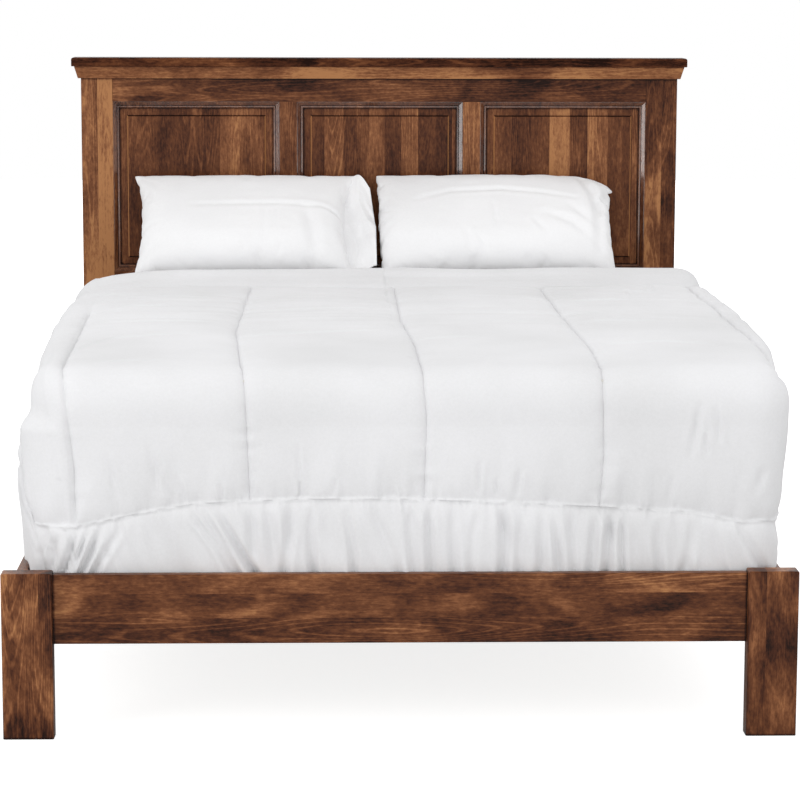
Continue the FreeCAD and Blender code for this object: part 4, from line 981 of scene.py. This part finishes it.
def padded_block(name, corner, edge, quilted):
    """A mattress or a box spring: its block with soft faces, sewn lines and piping at its edges."""
    low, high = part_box(name)
    source = add_object(f"{name}_block", NODES[name].data.copy())
    remesh = source.modifiers.new("remesh", "REMESH")
    remesh.mode = "VOXEL"
    remesh.voxel_size = BLOCK_CELL
    apply_modifiers(source)
    points = mesh_points(source.data)
    x, y, z = points.T.copy()
    middle = (low.z + high.z) / 2
    to_side = np.minimum(np.minimum(x - low.x, high.x - x), np.minimum(y - low.y, high.y - y))
    inward = fade(to_side, 0.02, 0.10)
    if quilted:
        waves = np.abs(np.sin(math.pi * (x + y) / QUILT_PITCH) * np.sin(math.pi * (x - y) / QUILT_PITCH))
        puff = 0.007 * (waves ** 0.5 - 1) * fade(-to_side, -0.06, -0.02)
    else:
        puff = 0.002 * value_noise(x * 5, y * 5, 91) - 0.002
    share = np.clip((z - middle) / (high.z - middle), -1, 1)
    points[:, 2] += np.where(np.abs(share) > 0.9, np.sign(share) * puff, 0)
    lines = sum(bell(share - line, 0.07) for line in SEWN_LINES) if quilted else 0
    ripple = 0.5 + 0.5 * value_noise(x * 14 + 40, y * 14 + 40, 92)
    pull = (0.004 * lines * (0.6 + ripple) + 0.002 * ripple) * inward * fade(np.abs(share), 0.8, 1.0)
    across = np.where(np.minimum(x - low.x, high.x - x) < 0.04, np.sign(x), 0)
    along = np.where(np.minimum(y - low.y, high.y - y) < 0.04, np.sign(y - (low.y + high.y) / 2), 0)
    points[:, 0] -= across * pull
    points[:, 1] -= along * pull
    source.data.vertices.foreach_set("co", points.ravel())
    inset = edge * PIPING_INSET
    outline = block_outline(low, high, corner, inset)
    meshes = [piping(f"{name}_cord", outline, height, PIPING) for height in (low.z + inset, high.z - inset)]
    joined = [mesh_points(source.data)]
    faces = [tuple(face.vertices) for face in source.data.polygons]
    for mesh in meshes:
        start = sum(len(part) for part in joined)
        faces += [tuple(start + v for v in face.vertices) for face in mesh.polygons]
        joined.append(mesh_points(mesh))
    bpy.data.objects.remove(source)
    return mesh_object(f"{name}_block", np.vstack(joined), faces)


# ---- scene

bpy.context.scene.view_settings.view_transform = "Standard"
make_world()
make_camera()
make_floor()
make_lamp("key", (-4.2, -4.0, 2.4), (0, -0.2, 0.6), 1.8, 1.8, 46)
make_lamp("fill", (3.4, -4.8, 2.2), (0, 0, 0.6), 3.0, 2.6, 10)
make_lamp("front", (0.3, -6.2, 0.45), (0, 0, 0.5), 3.2, 0.9, 31)
make_lamp("top", (0, -0.4, 4.2), (0, 0, 0.5), 3.5, 3.5, 8)
make_lamp("left_panel", (-4.2, -1.7, 0.9), (0, 0.9, 0.9), 1.5, 3.8, 110, only_gloss=True)
make_lamp("right_panel", (4.2, -1.7, 1.2), (0, 0.9, 0.9), 0.2, 2.6, 4, only_gloss=True)
dress_frame()
cotton = fabric("comforter_cotton", linear(222, 222, 223), linear(238, 238, 240))
case_cotton = fabric("pillow_cotton", linear(234, 234, 235), linear(247, 247, 248), bump=0.15)
ticking = fabric("mattress_cover", linear(206, 204, 198), linear(232, 230, 225), weave=900.0, bump=0.4)
spring_cover = fabric("box_spring_cover", linear(176, 172, 164), linear(206, 203, 196),
                      weave=700.0, bump=0.4)
soft_piece(comforter(), "comforter", ["comforter"], cotton)
left_pillow = pillow("left", LEFT_FOLDS, 5, flap=0.034, pinch=(-0.002, 0.016))
right_pillow = pillow("right", RIGHT_FOLDS, 8, corner_drop=0.06, pinch=(-0.036, -0.012))
soft_piece(left_pillow, "pillow_left", ["pillow_left"], case_cotton)
soft_piece(right_pillow, "pillow_right", ["pillow_right"], case_cotton)
mattress = padded_block("mattress", corner=0.060, edge=0.025, quilted=True)
soft_piece(mattress, "mattress", ["mattress"], ticking)
box_spring = padded_block("box_spring", corner=0.045, edge=0.010, quilted=False)
soft_piece(box_spring, "box_spring", ["box_spring"], spring_cover)
